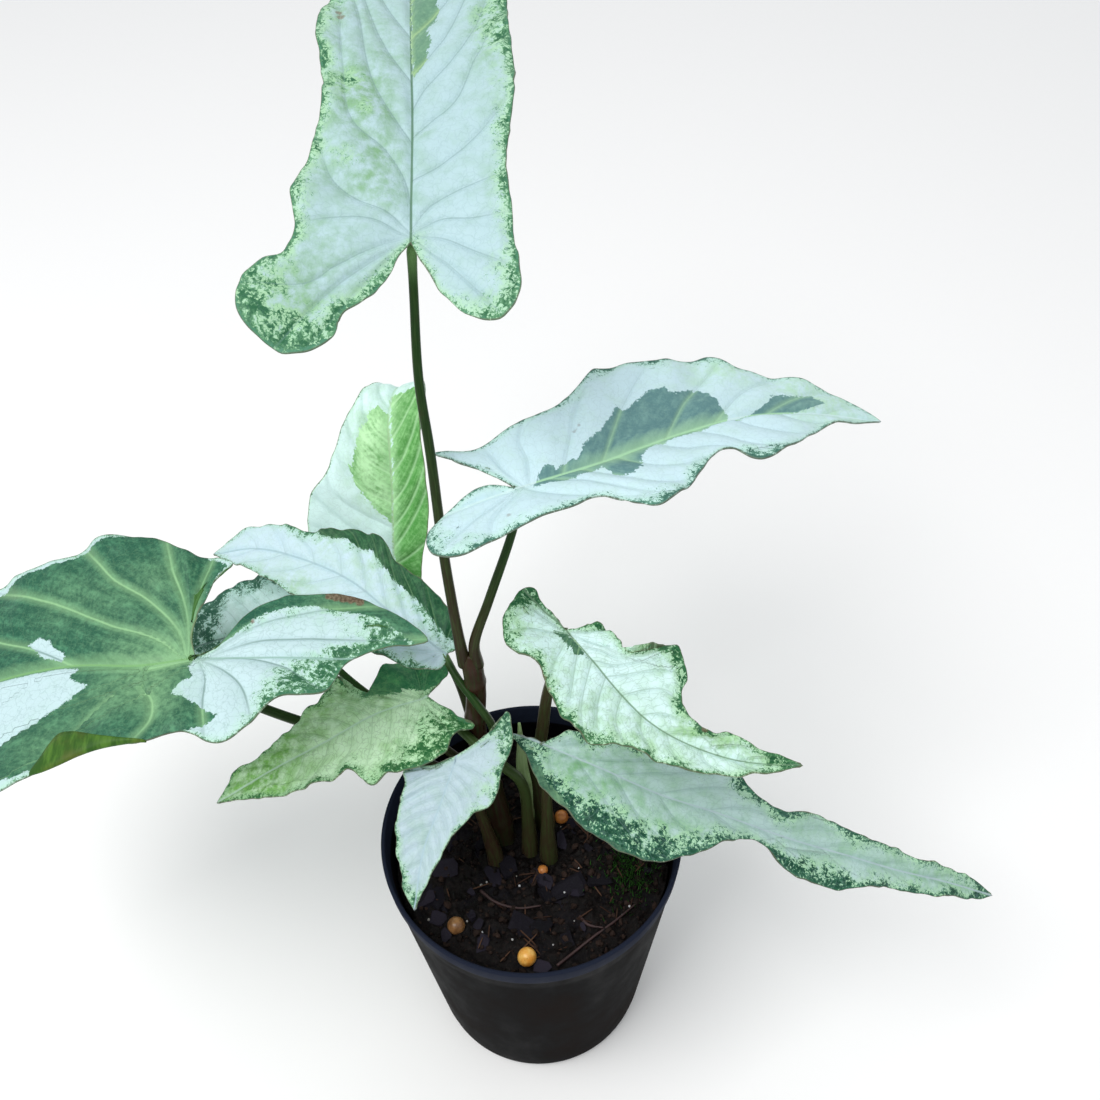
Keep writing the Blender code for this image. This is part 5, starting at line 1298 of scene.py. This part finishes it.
class PLANT_OT_leaves(bpy.types.Operator):
    """Build the ten variegated blades"""
    bl_idname = "plant.leaves"
    bl_label = "Leaves"

    def execute(self, context):
        settings = context.scene.plant_blades
        for letter in BLADES:
            blade, mesh = blade_mesh(letter, settings)
            close_blade(blade, mesh)
            paints = [LeafPaint(letter, settings.speck, under).painted() for under in (False, True)]
            slot = "leaf_green" if letter == "e" else "leaf_variegated"
            leaf = piece("blade_" + letter, mesh, paints, slot, "leaf_" + letter)
            self.thicken(leaf, blade, settings)
        curl = piece("curled_margin", curl_mesh(Blade(BLADES["e"])), [curl_paint()], "leaf_green")
        solid = curl.modifiers.new("thickness", "SOLIDIFY")
        solid.thickness = settings.thickness * MM
        solid.offset = 0.0
        return {"FINISHED"}

    def thicken(self, leaf, blade, settings):
        """Give a blade its thickness, with a ridge under the midrib."""
        x = stored(leaf.data, "flat")[:, 0]
        rib = stored(leaf.data, "zones")[:, 1]
        taper = np.clip(1 - x / blade.spec["tip"][0], 0, 1) ** 0.7 * smooth_step(x, -3.0, 0.0)
        weight = np.exp(-(rib / (0.35 + 0.9 * taper)) ** 2) * taper
        group = leaf.vertex_groups.new(name="midrib")
        for index in np.nonzero(weight > 0.01)[0]:
            group.add([int(index)], float(weight[index]), "REPLACE")
        solid = leaf.modifiers.new("thickness", "SOLIDIFY")
        solid.thickness = settings.ridge * MM
        solid.offset = -0.7
        solid.vertex_group = "midrib"
        solid.thickness_vertex_group = settings.thickness / settings.ridge
        solid.material_offset = 1


def tube_mesh(name, route, radii, sides, pitch, form_of=None):
    """A closed tapered tube along a smooth route, with its length and turn stored on the mesh."""
    dense = catmull(route)
    length = np.linalg.norm(np.diff(dense, axis=0), axis=1).sum()
    count = max(8, round(length / pitch))
    points = even_points(dense, count + 1)
    share = np.linspace(0, 1, count + 1)
    widths = np.interp(share, np.linspace(0, 1, len(radii)), radii)
    along = np.gradient(points, axis=0)
    along /= np.linalg.norm(along, axis=1)[:, None]
    across = [np.cross(along[0], (0.0, 1.0, 0.3))]
    for direction in along[1:]:
        across.append(across[-1] - direction * across[-1].dot(direction))
    across = np.array(across)
    across /= np.linalg.norm(across, axis=1)[:, None]
    beside = np.cross(along, across)
    mesh = bpy.data.meshes.new(name)
    form = bmesh.new()
    bmesh.ops.create_grid(form, x_segments=count, y_segments=sides, size=1.0)
    form.to_mesh(mesh)
    form.free()
    grid = unit_grid(mesh)
    rows = np.rint(grid[:, 0] * count).astype(int)
    turn = grid[:, 1] * math.tau
    radius = widths[rows]
    if form_of is not None:
        radius = radius * form_of(share[rows], turn, share[rows] * length)
    places = (points[rows] + across[rows] * (np.cos(turn) * radius)[:, None]
              + beside[rows] * (np.sin(turn) * radius)[:, None])
    mesh.vertices.foreach_set("co", (places * MM).ravel())
    store(mesh, "stalk", np.column_stack([share[rows], turn, share[rows] * length]))
    form = bmesh.new()
    form.from_mesh(mesh)
    bmesh.ops.remove_doubles(form, verts=form.verts, dist=0.002 * MM)
    rims = [edge for edge in form.edges if edge.is_boundary]
    bmesh.ops.holes_fill(form, edges=rims)
    outward(form)
    settle(form, mesh)
    return mesh


def stalk_paint(name, top, foot, blush, settings, joint=None):
    """Smooth stalk with long streaks, darker and browner towards its foot."""
    paint = Paint(name, roughness=0.45, specular=0.12)
    share, turn, run = paint.parts(paint.mark("stalk"))
    around = paint.joined(run * 0.06, paint.math("SINE", turn) * 1.1, paint.math("COSINE", turn) * 1.1)
    streak = paint.clouds(around, 2.6, 4.0, 0.6)
    blotch = paint.clouds(paint.place(), 0.25, 4.0, 0.6)
    colour = paint.mix(paint.step(share, 0.0, 0.8), foot, top)
    colour = paint.mix(paint.step(streak, 0.42, 0.70) * 0.55, colour, blush)
    colour = paint.mix(paint.step(blotch, 0.5, 0.75) * 0.35, colour, tuple(settings.brown))
    if joint is not None:
        colour = paint.mix(paint.step(share, 0.90, 0.99), colour, joint)
    paint.bump(streak, strength=0.3, distance=0.15)
    return paint.finish(colour, paint.step(streak, -0.5, 2.0))


def petiole_form(share, turn, run):
    """A stalk is a little grooved above, wide at its foot and swollen under its blade."""
    groove = 1 - 0.10 * np.exp(-((turn - math.pi) / 0.5) ** 2)
    foot = 1 + 0.25 * np.exp(-(run / 9) ** 2)
    knee = 1 + 0.22 * np.exp(-((1 - share) / 0.05) ** 2)
    tip = 1 - 0.5 * smooth_step(share, 0.975, 1.0)
    return groove * foot * knee * tip


def shoot_form(share, turn, run):
    """A stalk out of the mix has a sheath with an open seam at its foot."""
    sheath = 0.48 * np.exp(-((run - 9) / 11) ** 2)
    seam = 1 - 0.22 * np.exp(-((turn - 4.3) / 0.35) ** 2) * np.exp(-(run / 26) ** 2)
    return petiole_form(share, turn, run + 18) * (1 + sheath) * seam


def stem_form(share, turn, run):
    """The stem has rings where leaves once stood."""
    ring = sum(0.09 * np.exp(-((share - place) / 0.016) ** 2) for place in (0.22, 0.38, 0.52, 0.69, 0.86))
    tip = 1 - 0.55 * np.clip((share - 0.93) / 0.07, 0, 1) ** 2
    return (0.97 + ring + 0.04 * np.sin(turn * 2 + share * 7)) * tip


def spike_form(share, turn, run):
    """A rolled blade has one free edge that winds round it."""
    winding = (turn / math.tau + share * 1.3) % 1.0
    return 0.90 + 0.14 * winding


class PLANT_OT_stalks(bpy.types.Operator):
    """Build the stem, a stalk for each blade and the rolled new leaf"""
    bl_idname = "plant.stalks"
    bl_label = "Stalks"

    def execute(self, context):
        settings = context.scene.plant_stalks
        green, brown = tuple(settings.green), tuple(settings.brown)
        olive = linear((0.22, 0.20, 0.13))
        fresh = linear((0.22, 0.31, 0.15))
        rust = linear((0.22, 0.16, 0.12))
        stem = tube_mesh("stem", STEM_ROUTE, STEM_RADII, sides=36, pitch=0.7, form_of=stem_form)
        paint = stalk_paint("stem_bark", linear((0.21, 0.14, 0.10)), linear((0.17, 0.12, 0.09)),
                            linear((0.14, 0.25, 0.12)), settings)
        piece("main_stem", stem, [paint], "stem", "stem")
        feet = {"h": rust, "i": rust, "j": olive, "k": olive}
        tops = {"h": fresh, "i": rust, "j": olive, "k": olive}
        for letter, spec in PETIOLES.items():
            blade = Blade(BLADES[letter])
            last = np.array(spec["route"][-1])
            slope = (blade.joint - last) / np.linalg.norm(blade.joint - last)
            near_side = -1 if slope.dot(blade.normal) > 0 else 1
            route = spec["route"] + (tuple(blade.joint + blade.normal * 0.95 * near_side),)
            radii = (spec["base"], spec["base"] * 0.6 + spec["top"] * 0.4, spec["top"])
            grown = shoot_form if letter in feet else petiole_form
            mesh = tube_mesh("petiole_" + letter, route, radii, sides=24, pitch=0.8, form_of=grown)
            paint = stalk_paint("stalk_" + letter, tops.get(letter, green), feet.get(letter, brown), fresh,
                                settings, linear((0.36, 0.50, 0.30)))
            piece("stalk_" + letter, mesh, [paint], "petiole", "petiole_" + letter)
        rolled = tube_mesh("new_leaf", SPIKE_ROUTE, SPIKE_RADII, sides=40, pitch=0.6, form_of=spike_form)
        paint = stalk_paint("rolled_leaf", linear((0.52, 0.62, 0.42)), linear((0.34, 0.38, 0.24)),
                            linear((0.60, 0.70, 0.52)), settings)
        piece("rolled_leaf", rolled, [paint], "new_leaf", "new_leaf")
        return {"FINISHED"}


def inner_radius(height):
    """Radius of the pot's inner wall at a height."""
    outer = BASE_RADIUS + (UNDER_BAND_RADIUS - BASE_RADIUS) * height / UNDER_BAND
    return min(outer, UNDER_BAND_RADIUS) - WALL


def spun_mesh(name, profile, steps):
    """A mesh turned from a profile of radius and height."""
    mesh = bpy.data.meshes.new(name)
    form = bmesh.new()
    chain = [form.verts.new((radius * MM, 0, height * MM)) for radius, height in profile]
    edges = [form.edges.new(pair) for pair in zip(chain, chain[1:])]
    bmesh.ops.spin(form, geom=chain + edges, axis=(0, 0, 1), cent=(0, 0, 0), angle=math.tau, steps=steps,
                   use_merge=True)
    bmesh.ops.remove_doubles(form, verts=form.verts, dist=0.01 * MM)
    outward(form)
    settle(form, mesh)
    return mesh


def pot_paint(settings):
    """Thin black plastic: a greyer, bluish rim band that is painted reflection of the sky, a faint brown
    bloom of dried mix and small scuffs.
    """
    paint = Paint("black_plastic", roughness=0.6, specular=0.015)
    place = paint.place()
    _, _, height = paint.parts(place)
    bloom = paint.clouds(paint.scaled(place, (1.0, 1.0, 0.6)), 0.045, 5.0, 0.62)
    scuff = paint.clouds(paint.scaled(place, (1.0, 1.0, 3.0)), 0.5, 6.0, 0.7)
    colour = paint.mix(paint.step(bloom, 0.45, 0.72) * 0.9, tuple(settings.plastic),
                       linear((0.105, 0.080, 0.070)))
    # the band under the rim is lighter and bluish: painted reflection of the sky on its upright face
    colour = paint.mix(paint.step(height, UNDER_BAND - 0.6, UNDER_BAND + 0.2), colour, tuple(settings.band))
    colour = paint.mix(paint.step(scuff, 0.68, 0.76) * 0.5, colour, linear((0.24, 0.23, 0.23)))
    paint.bump(scuff, strength=0.12, distance=0.08)
    return paint.finish(colour, paint.step(bloom, -0.6, 1.4))


class PLANT_OT_pot(bpy.types.Operator):
    """Build the tapered nursery pot"""
    bl_idname = "plant.pot"
    bl_label = "Pot"

    def execute(self, context):
        settings = context.scene.plant_pot
        slope = (UNDER_BAND_RADIUS - BASE_RADIUS) / UNDER_BAND
        profile = [(0, 0), (BASE_RADIUS - FOOT_BEVEL, 0)]
        for part in range(1, BEVEL_STEPS + 1):
            angle = math.pi / 2 * part / BEVEL_STEPS
            profile.append((BASE_RADIUS - FOOT_BEVEL + FOOT_BEVEL * math.sin(angle),
                            FOOT_BEVEL - FOOT_BEVEL * math.cos(angle)))
        profile += [(BASE_RADIUS + slope * height, height) for height in range(5, int(UNDER_BAND), 5)]
        profile += [
            (BASE_RADIUS + slope * UNDER_BAND, UNDER_BAND - 0.1),
            (RIM_RADIUS - LIP_ROUND - 0.15, UNDER_BAND + 0.1),
            (RIM_RADIUS - LIP_ROUND, UNDER_BAND + 0.5), (RIM_RADIUS - 0.25, UNDER_BAND + 1.2),
            (RIM_RADIUS, POT_HEIGHT - 0.9), (RIM_RADIUS, POT_HEIGHT - LIP_ROUND),
            (RIM_RADIUS - 0.12, POT_HEIGHT - 0.1), (RIM_RADIUS - LIP_ROUND, POT_HEIGHT),
            (RIM_RADIUS - WALL + 0.25, POT_HEIGHT - 0.08), (RIM_RADIUS - WALL, POT_HEIGHT - LIP_ROUND),
            (inner_radius(UNDER_BAND) + 0.25, UNDER_BAND + 1.0), (inner_radius(UNDER_BAND), UNDER_BAND - 0.4),
            (inner_radius(FLOOR + FOOT_BEVEL), FLOOR + FOOT_BEVEL), (inner_radius(FLOOR) - FOOT_BEVEL, FLOOR),
            (0, FLOOR),
        ]
        mesh = spun_mesh("pot", profile, settings.steps)
        mesh.set_sharp_from_angle(angle=math.radians(50))
        pot = piece("nursery_pot", mesh, [pot_paint(settings)], "pot_plastic", "pot")
        self.drain(pot)
        return {"FINISHED"}

    def drain(self, pot):
        """Cut the ring of drain holes through the floor."""
        cutter_mesh = bpy.data.meshes.new("drain")
        form = bmesh.new()
        for index in range(DRAIN_HOLES):
            angle = math.tau * (index + 0.5) / DRAIN_HOLES
            place = Vector((math.cos(angle), math.sin(angle), 0)) * DRAIN_CIRCLE * MM
            bmesh.ops.create_cone(form, cap_ends=True, segments=32, radius1=DRAIN_RADIUS * MM,
                                  radius2=DRAIN_RADIUS * MM, depth=4 * FLOOR * MM,
                                  matrix=Matrix.Translation(place))
        form.to_mesh(cutter_mesh)
        form.free()
        cutter = linked("drain", cutter_mesh)
        modifier = pot.modifiers.new("drain", "BOOLEAN")
        modifier.operation = "DIFFERENCE"
        modifier.solver = "EXACT"
        modifier.object = cutter
        bpy.context.view_layer.update()
        graph = bpy.context.evaluated_depsgraph_get()
        drained = bpy.data.meshes.new_from_object(pot.evaluated_get(graph))
        pot.modifiers.clear()
        pot.data = drained
        bpy.data.objects.remove(cutter)


def soil_height(x, y):
    """Lumpy top of the potting mix, a little lower at the wall."""
    lump = noise.noise(Vector((x * 0.11, y * 0.11, 3.7))) * SOIL_LUMP
    crumb = noise.noise(Vector((x * 0.31, y * 0.31, 8.1))) * SOIL_LUMP * 0.6
    edge = max(0.0, math.hypot(x, y) - 30) * 0.12
    return SOIL_LEVEL + lump + crumb - edge


def mix_paint(settings):
    """Damp dark mix with brown and grey crumbs."""
    paint = Paint("potting_mix", roughness=0.8, specular=0.12)
    place = paint.place()
    crumbs = paint.clouds(place, 0.9, 5.0, 0.7)
    patches = paint.clouds(place, 0.12, 3.0, 0.6)
    colour = paint.mix(paint.step(crumbs, 0.45, 0.68), tuple(settings.colour), linear((0.115, 0.09, 0.085)))
    colour = paint.mix(paint.step(patches, 0.5, 0.7) * 0.5, colour, linear((0.10, 0.10, 0.13)))
    paint.bump(crumbs, strength=0.9, distance=0.5)
    return paint.finish(colour, paint.step(patches, -0.3, 1.2))


def loose_paint(name, roughness):
    """Small loose pieces, each in a shade between two colours."""
    dark, light = (linear(seen) for seen in LOOSE_COLOURS[name])
    paint = Paint(name, roughness, specular=0.12)
    shade, _, _ = paint.parts(paint.mark("shade"))
    grain = paint.clouds(paint.scaled(paint.place(), (1.0, 1.0, 2.0)), 1.4, 4.0, 0.65)
    colour = paint.mix(shade, dark, light)
    colour = paint.mix(paint.step(grain, 0.5, 0.75) * 0.35, colour, light)
    paint.bump(grain, strength=0.6, distance=0.2)
    return paint.finish(colour)


class Scatter:
    """Loose pieces thrown on the mix and joined in one mesh, each with a shade of its own."""

    def __init__(self, name, seed):
        self.name = name
        self.dice = random.Random(name + str(seed))
        self.form = bmesh.new()
        self.shade = self.form.verts.layers.float_vector.new("shade")

    def spot(self, reach):
        """A free place on the mix, clear of the stems."""
        while True:
            angle = self.dice.uniform(0, math.tau)
            away = reach * math.sqrt(self.dice.random())
            place = Vector((math.cos(angle) * away, math.sin(angle) * away))
            if min((place - Vector(foot)).length for foot in STEM_FEET) > STEM_ROOM:
                return place

    def add(self, make, place, size, lift, tilt, jitter=0.18):
        """One piece: made at the origin, then bent out of true, sized, turned and set down."""
        known = set(self.form.verts)
        make(self.form)
        new = [vert for vert in self.form.verts if vert not in known]
        turn = Matrix.Rotation(self.dice.uniform(0, math.tau), 4, "Z")
        turn @= Matrix.Rotation(self.dice.uniform(-tilt, tilt), 4, "X")
        turn @= Matrix.Rotation(self.dice.uniform(-tilt, tilt), 4, "Y")
        shade = self.dice.random()
        spot = Vector((*place, soil_height(*place) + lift))
        for vert in new:
            shaken = vert.co * (1 + self.dice.uniform(-jitter, jitter))
            shaken = Vector((shaken.x * size[0], shaken.y * size[1], shaken.z * size[2]))
            vert.co = (spot + turn @ shaken) * MM
            vert[self.shade] = (shade, 0, 0)

    def done(self, kind, roughness=0.75):
        """Turn what was thrown into a piece, in the colours of its kind."""
        mesh = bpy.data.meshes.new(self.name)
        outward(self.form)
        self.form.to_mesh(mesh)
        self.form.free()
        piece(self.name, mesh, [loose_paint(kind, roughness)], "potting_mix")


def flake(form):
    """An unevenly split chip of bark."""
    made = bmesh.ops.create_cube(form, size=1.0)["verts"]
    edges = {edge for vert in made for edge in vert.link_edges
             if abs(edge.verts[0].co.z - edge.verts[1].co.z) > 0.5}
    bmesh.ops.bevel(form, geom=list(edges), offset=0.22, offset_type="OFFSET", affect="EDGES", segments=1,
                    profile=0.5, material=-1)


def crumb(form):
    """A rounded crumb."""
    bmesh.ops.create_icosphere(form, subdivisions=1, radius=0.5)


def tuft(form):
    """A tiny upright moss shoot."""
    bmesh.ops.create_cone(form, cap_ends=False, segments=5, radius1=0.5, radius2=0.05, depth=1.0)


class PLANT_OT_mix(bpy.types.Operator):
    """Build the potting mix with its loose pieces, roots and feed beads"""
    bl_idname = "plant.mix"
    bl_label = "Potting mix"

    def execute(self, context):
        settings = context.scene.plant_mix
        self.ground(settings)
        self.loose(settings)
        self.roots()
        self.beads()
        return {"FINISHED"}

    def ground(self, settings):
        """The body of the mix, lumpy on top."""
        top = inner_radius(SOIL_LEVEL - 2 * SOIL_LUMP) - GAP * 0.5
        profile = [(top * ring / MIX_RINGS, SOIL_LEVEL) for ring in range(MIX_RINGS + 1)]
        profile += [(inner_radius(FLOOR + FOOT_BEVEL) - GAP, FLOOR + FOOT_BEVEL),
                    (inner_radius(FLOOR + GAP) - GAP - FOOT_BEVEL, FLOOR + GAP), (0, FLOOR + GAP)]
        mesh = spun_mesh("mix", profile, 220)
        for vert in mesh.vertices:
            if vert.co.z > (SOIL_LEVEL - 1) * MM:
                x, y = vert.co.x / MM, vert.co.y / MM
                cells = noise.voronoi(Vector((x * 0.55, y * 0.55, 1.3)))[0]
                grain = noise.fractal(Vector((x * 0.5, y * 0.5, 5.0)), 0.8, 2.1, 3)
                vert.co.z = (soil_height(x, y) + 0.6 - 1.1 * cells[0] + 0.45 * grain) * MM
        piece("potting_mix", mesh, [mix_paint(settings)], "potting_mix", "soil")

    def loose(self, settings):
        """Chips, crumbs, fibres, grit and moss on the mix."""
        bark = Scatter("bark_chips", settings.seed)
        for _ in range(settings.chips):
            long = 2.2 + 6.5 * bark.dice.random() ** 2
            size = (long, long * bark.dice.uniform(0.45, 0.8), bark.dice.uniform(0.6, 1.4))
            bark.add(flake, bark.spot(CHIP_REACH - long / 2), size, bark.dice.uniform(0.2, 0.7), tilt=0.4,
                     jitter=0.3)
        bark.done("bark", roughness=0.8)
        crumbs = Scatter("mix_crumbs", settings.seed)
        for _ in range(settings.crumbs):
            wide = 0.5 + 2.2 * crumbs.dice.random() ** 3
            size = (wide, wide * 0.8, wide * 0.7)
            crumbs.add(crumb, crumbs.spot(CRUMB_REACH), size, wide * 0.2, tilt=1.5, jitter=0.25)
        crumbs.done("crumb")
        fibres = Scatter("fibres", settings.seed)
        for _ in range(settings.chips):
            long = fibres.dice.uniform(2.0, 6.0)
            fibres.add(flake, fibres.spot(FIBRE_REACH), (long, 0.3, 0.3), 0.8, tilt=0.3)
        fibres.done("fibre")
        grit = Scatter("grit", settings.seed)
        for _ in range(settings.grit):
            wide = grit.dice.uniform(0.4, 1.0)
            grit.add(crumb, grit.spot(GRIT_REACH), (wide, wide, wide), 0.5, tilt=1.5)
        grit.done("pale_grit")
        moss = Scatter("moss", settings.seed)
        for _ in range(MOSS_SHOOTS):
            place = Vector([moss.dice.gauss(*pair) for pair in zip(MOSS_MIDDLE, MOSS_SPREAD)])
            if place.length < MOSS_REACH:
                moss.add(tuft, place, (0.36, 0.36, moss.dice.uniform(1.0, 2.6)), 0.8, tilt=0.6)
        moss.done("moss")

    def roots(self):
        """Thin reddish roots that lie on the mix."""
        for index, way in enumerate(ROOTS):
            route = [(x, y, soil_height(x, y) + ROOT_RISE) for x, y in way]
            mesh = tube_mesh("root_%d" % index, route, ROOT_RADII, sides=8, pitch=0.8)
            paint = Paint("root_skin_%d" % index, roughness=0.6)
            colour = paint.mix(paint.clouds(paint.place(), 0.6), linear((0.13, 0.075, 0.075)),
                               linear((0.27, 0.17, 0.17)))
            piece("root_%d" % index, mesh, [paint.finish(colour)], "potting_mix")

    def beads(self):
        """Round feed beads with small dents."""
        for name, (place, radius, slot) in BEADS.items():
            mesh = bpy.data.meshes.new(name)
            form = bmesh.new()
            centre = Vector((*place, soil_height(*place) + radius * BEAD_RISE))
            bmesh.ops.create_icosphere(form, subdivisions=4, radius=radius * 0.985)
            for vert in form.verts:
                dent = noise.noise(vert.co * 0.9 + centre) * 0.05 * radius
                vert.co = (vert.co - vert.co.normalized() * abs(dent) + centre) * MM
            settle(form, mesh)
            paint = Paint(name + "_coat", roughness=0.33)
            skin = paint.clouds(paint.place(), 0.5, 4.0, 0.6)
            colour = paint.mix(paint.step(skin, 0.35, 0.65), *(linear(tint) for tint in BEAD_TINTS[slot]))
            dust = paint.clouds(paint.place(), 1.8, 3.0, 0.6)
            colour = paint.mix(paint.step(dust, 0.66, 0.74), colour, linear((0.25, 0.16, 0.10)))
            piece(name + "_coated", mesh, [paint.finish(colour)], slot, name)


class PLANT_OT_stage(bpy.types.Operator):
    """Set the floor, the soft light and the camera"""
    bl_idname = "plant.stage"
    bl_label = "Stage"

    def execute(self, context):
        settings = context.scene.plant_stage
        self.floor(settings)
        self.light(settings)
        self.camera()
        context.scene.view_settings.view_transform = "Standard"
        return {"FINISHED"}

    def floor(self, settings):
        """A plain pale floor."""
        mesh = bpy.data.meshes.new("floor")
        form = bmesh.new()
        bmesh.ops.create_circle(form, cap_ends=True, segments=96, radius=FLOOR_RADIUS * MM)
        form.to_mesh(mesh)
        form.free()
        ground = linked("floor", mesh)
        paint = Paint("pale_floor", roughness=0.9, specular=0.2)
        mesh.materials.append(paint.finish(tuple(settings.floor)))

    def light(self, settings):
        """Even sky light and one large window."""
        world = bpy.data.worlds.new("studio")
        bpy.context.scene.world = world
        world.use_nodes = True
        sky = world.node_tree.nodes["Background"]
        sky.inputs["Color"].default_value = SKY_COLOUR
        sky.inputs["Strength"].default_value = settings.sky
        lamp = bpy.data.lights.new("window", "AREA")
        lamp.shape = "RECTANGLE"
        lamp.size, lamp.size_y = LAMP_SIZE
        lamp.energy = settings.window
        lamp.color = LAMP_COLOUR
        holder = linked("window", lamp)
        holder.location = LAMP_PLACE
        aim = Vector(LAMP_AIM) - holder.location
        holder.rotation_euler = aim.to_track_quat("-Z", "Y").to_euler()

    def camera(self):
        """The view of the photograph."""
        lens = bpy.data.cameras.new("view")
        lens.sensor_width = 36.0
        lens.lens = CAMERA_LENS
        lens.clip_start = 0.01
        lens.clip_end = 20.0
        eye = linked("view", lens)
        pitch, roll = math.radians(CAMERA_PITCH), math.radians(CAMERA_ROLL)
        ahead = Vector((0, math.cos(pitch), -math.sin(pitch)))
        right = Vector((1, 0, 0))
        up = right.cross(ahead)
        rolled_right = right * math.cos(roll) + up * math.sin(roll)
        rolled_up = up * math.cos(roll) - right * math.sin(roll)
        turned = Matrix((rolled_right, rolled_up, -ahead)).transposed().to_4x4()
        eye.matrix_world = Matrix.Translation(Vector(CAMERA_PLACE) * MM) @ turned
        bpy.context.scene.camera = eye


class PLANT_PT_panel(bpy.types.Panel):
    """Settings and steps of the potted plant"""
    bl_label = "Potted syngonium"
    bl_idname = "PLANT_PT_panel"
    bl_space_type = "VIEW_3D"
    bl_region_type = "UI"
    bl_category = "Plant"

    def draw(self, context):
        for title, attribute, operator in STEPS:
            box = self.layout.box()
            box.label(text=title)
            group = getattr(context.scene, attribute)
            for key in group.bl_rna.properties.keys():
                if key not in {"rna_type", "name"}:
                    box.prop(group, key)
            box.operator(operator)


STEPS = (
    ("Pot", "plant_pot", "plant.pot"),
    ("Potting mix", "plant_mix", "plant.mix"),
    ("Stalks", "plant_stalks", "plant.stalks"),
    ("Leaves", "plant_blades", "plant.leaves"),
    ("Stage", "plant_stage", "plant.stage"),
)
GROUPS = {
    "plant_pot": PotSettings,
    "plant_mix": MixSettings,
    "plant_stalks": StalkSettings,
    "plant_blades": BladeSettings,
    "plant_stage": StageSettings,
}
CLASSES = (*GROUPS.values(), PLANT_OT_pot, PLANT_OT_mix, PLANT_OT_stalks, PLANT_OT_leaves, PLANT_OT_stage,
           PLANT_PT_panel)


def register():
    for made in CLASSES:
        bpy.utils.register_class(made)
    for name, group in GROUPS.items():
        setattr(bpy.types.Scene, name, bpy.props.PointerProperty(type=group))


def unregister():
    for name in GROUPS:
        delattr(bpy.types.Scene, name)
    for made in reversed(CLASSES):
        bpy.utils.unregister_class(made)


def main():
    register()
    bpy.ops.plant.pot()
    bpy.ops.plant.mix()
    bpy.ops.plant.stalks()
    bpy.ops.plant.leaves()
    bpy.ops.plant.stage()


if __name__ == "__main__":
    main()
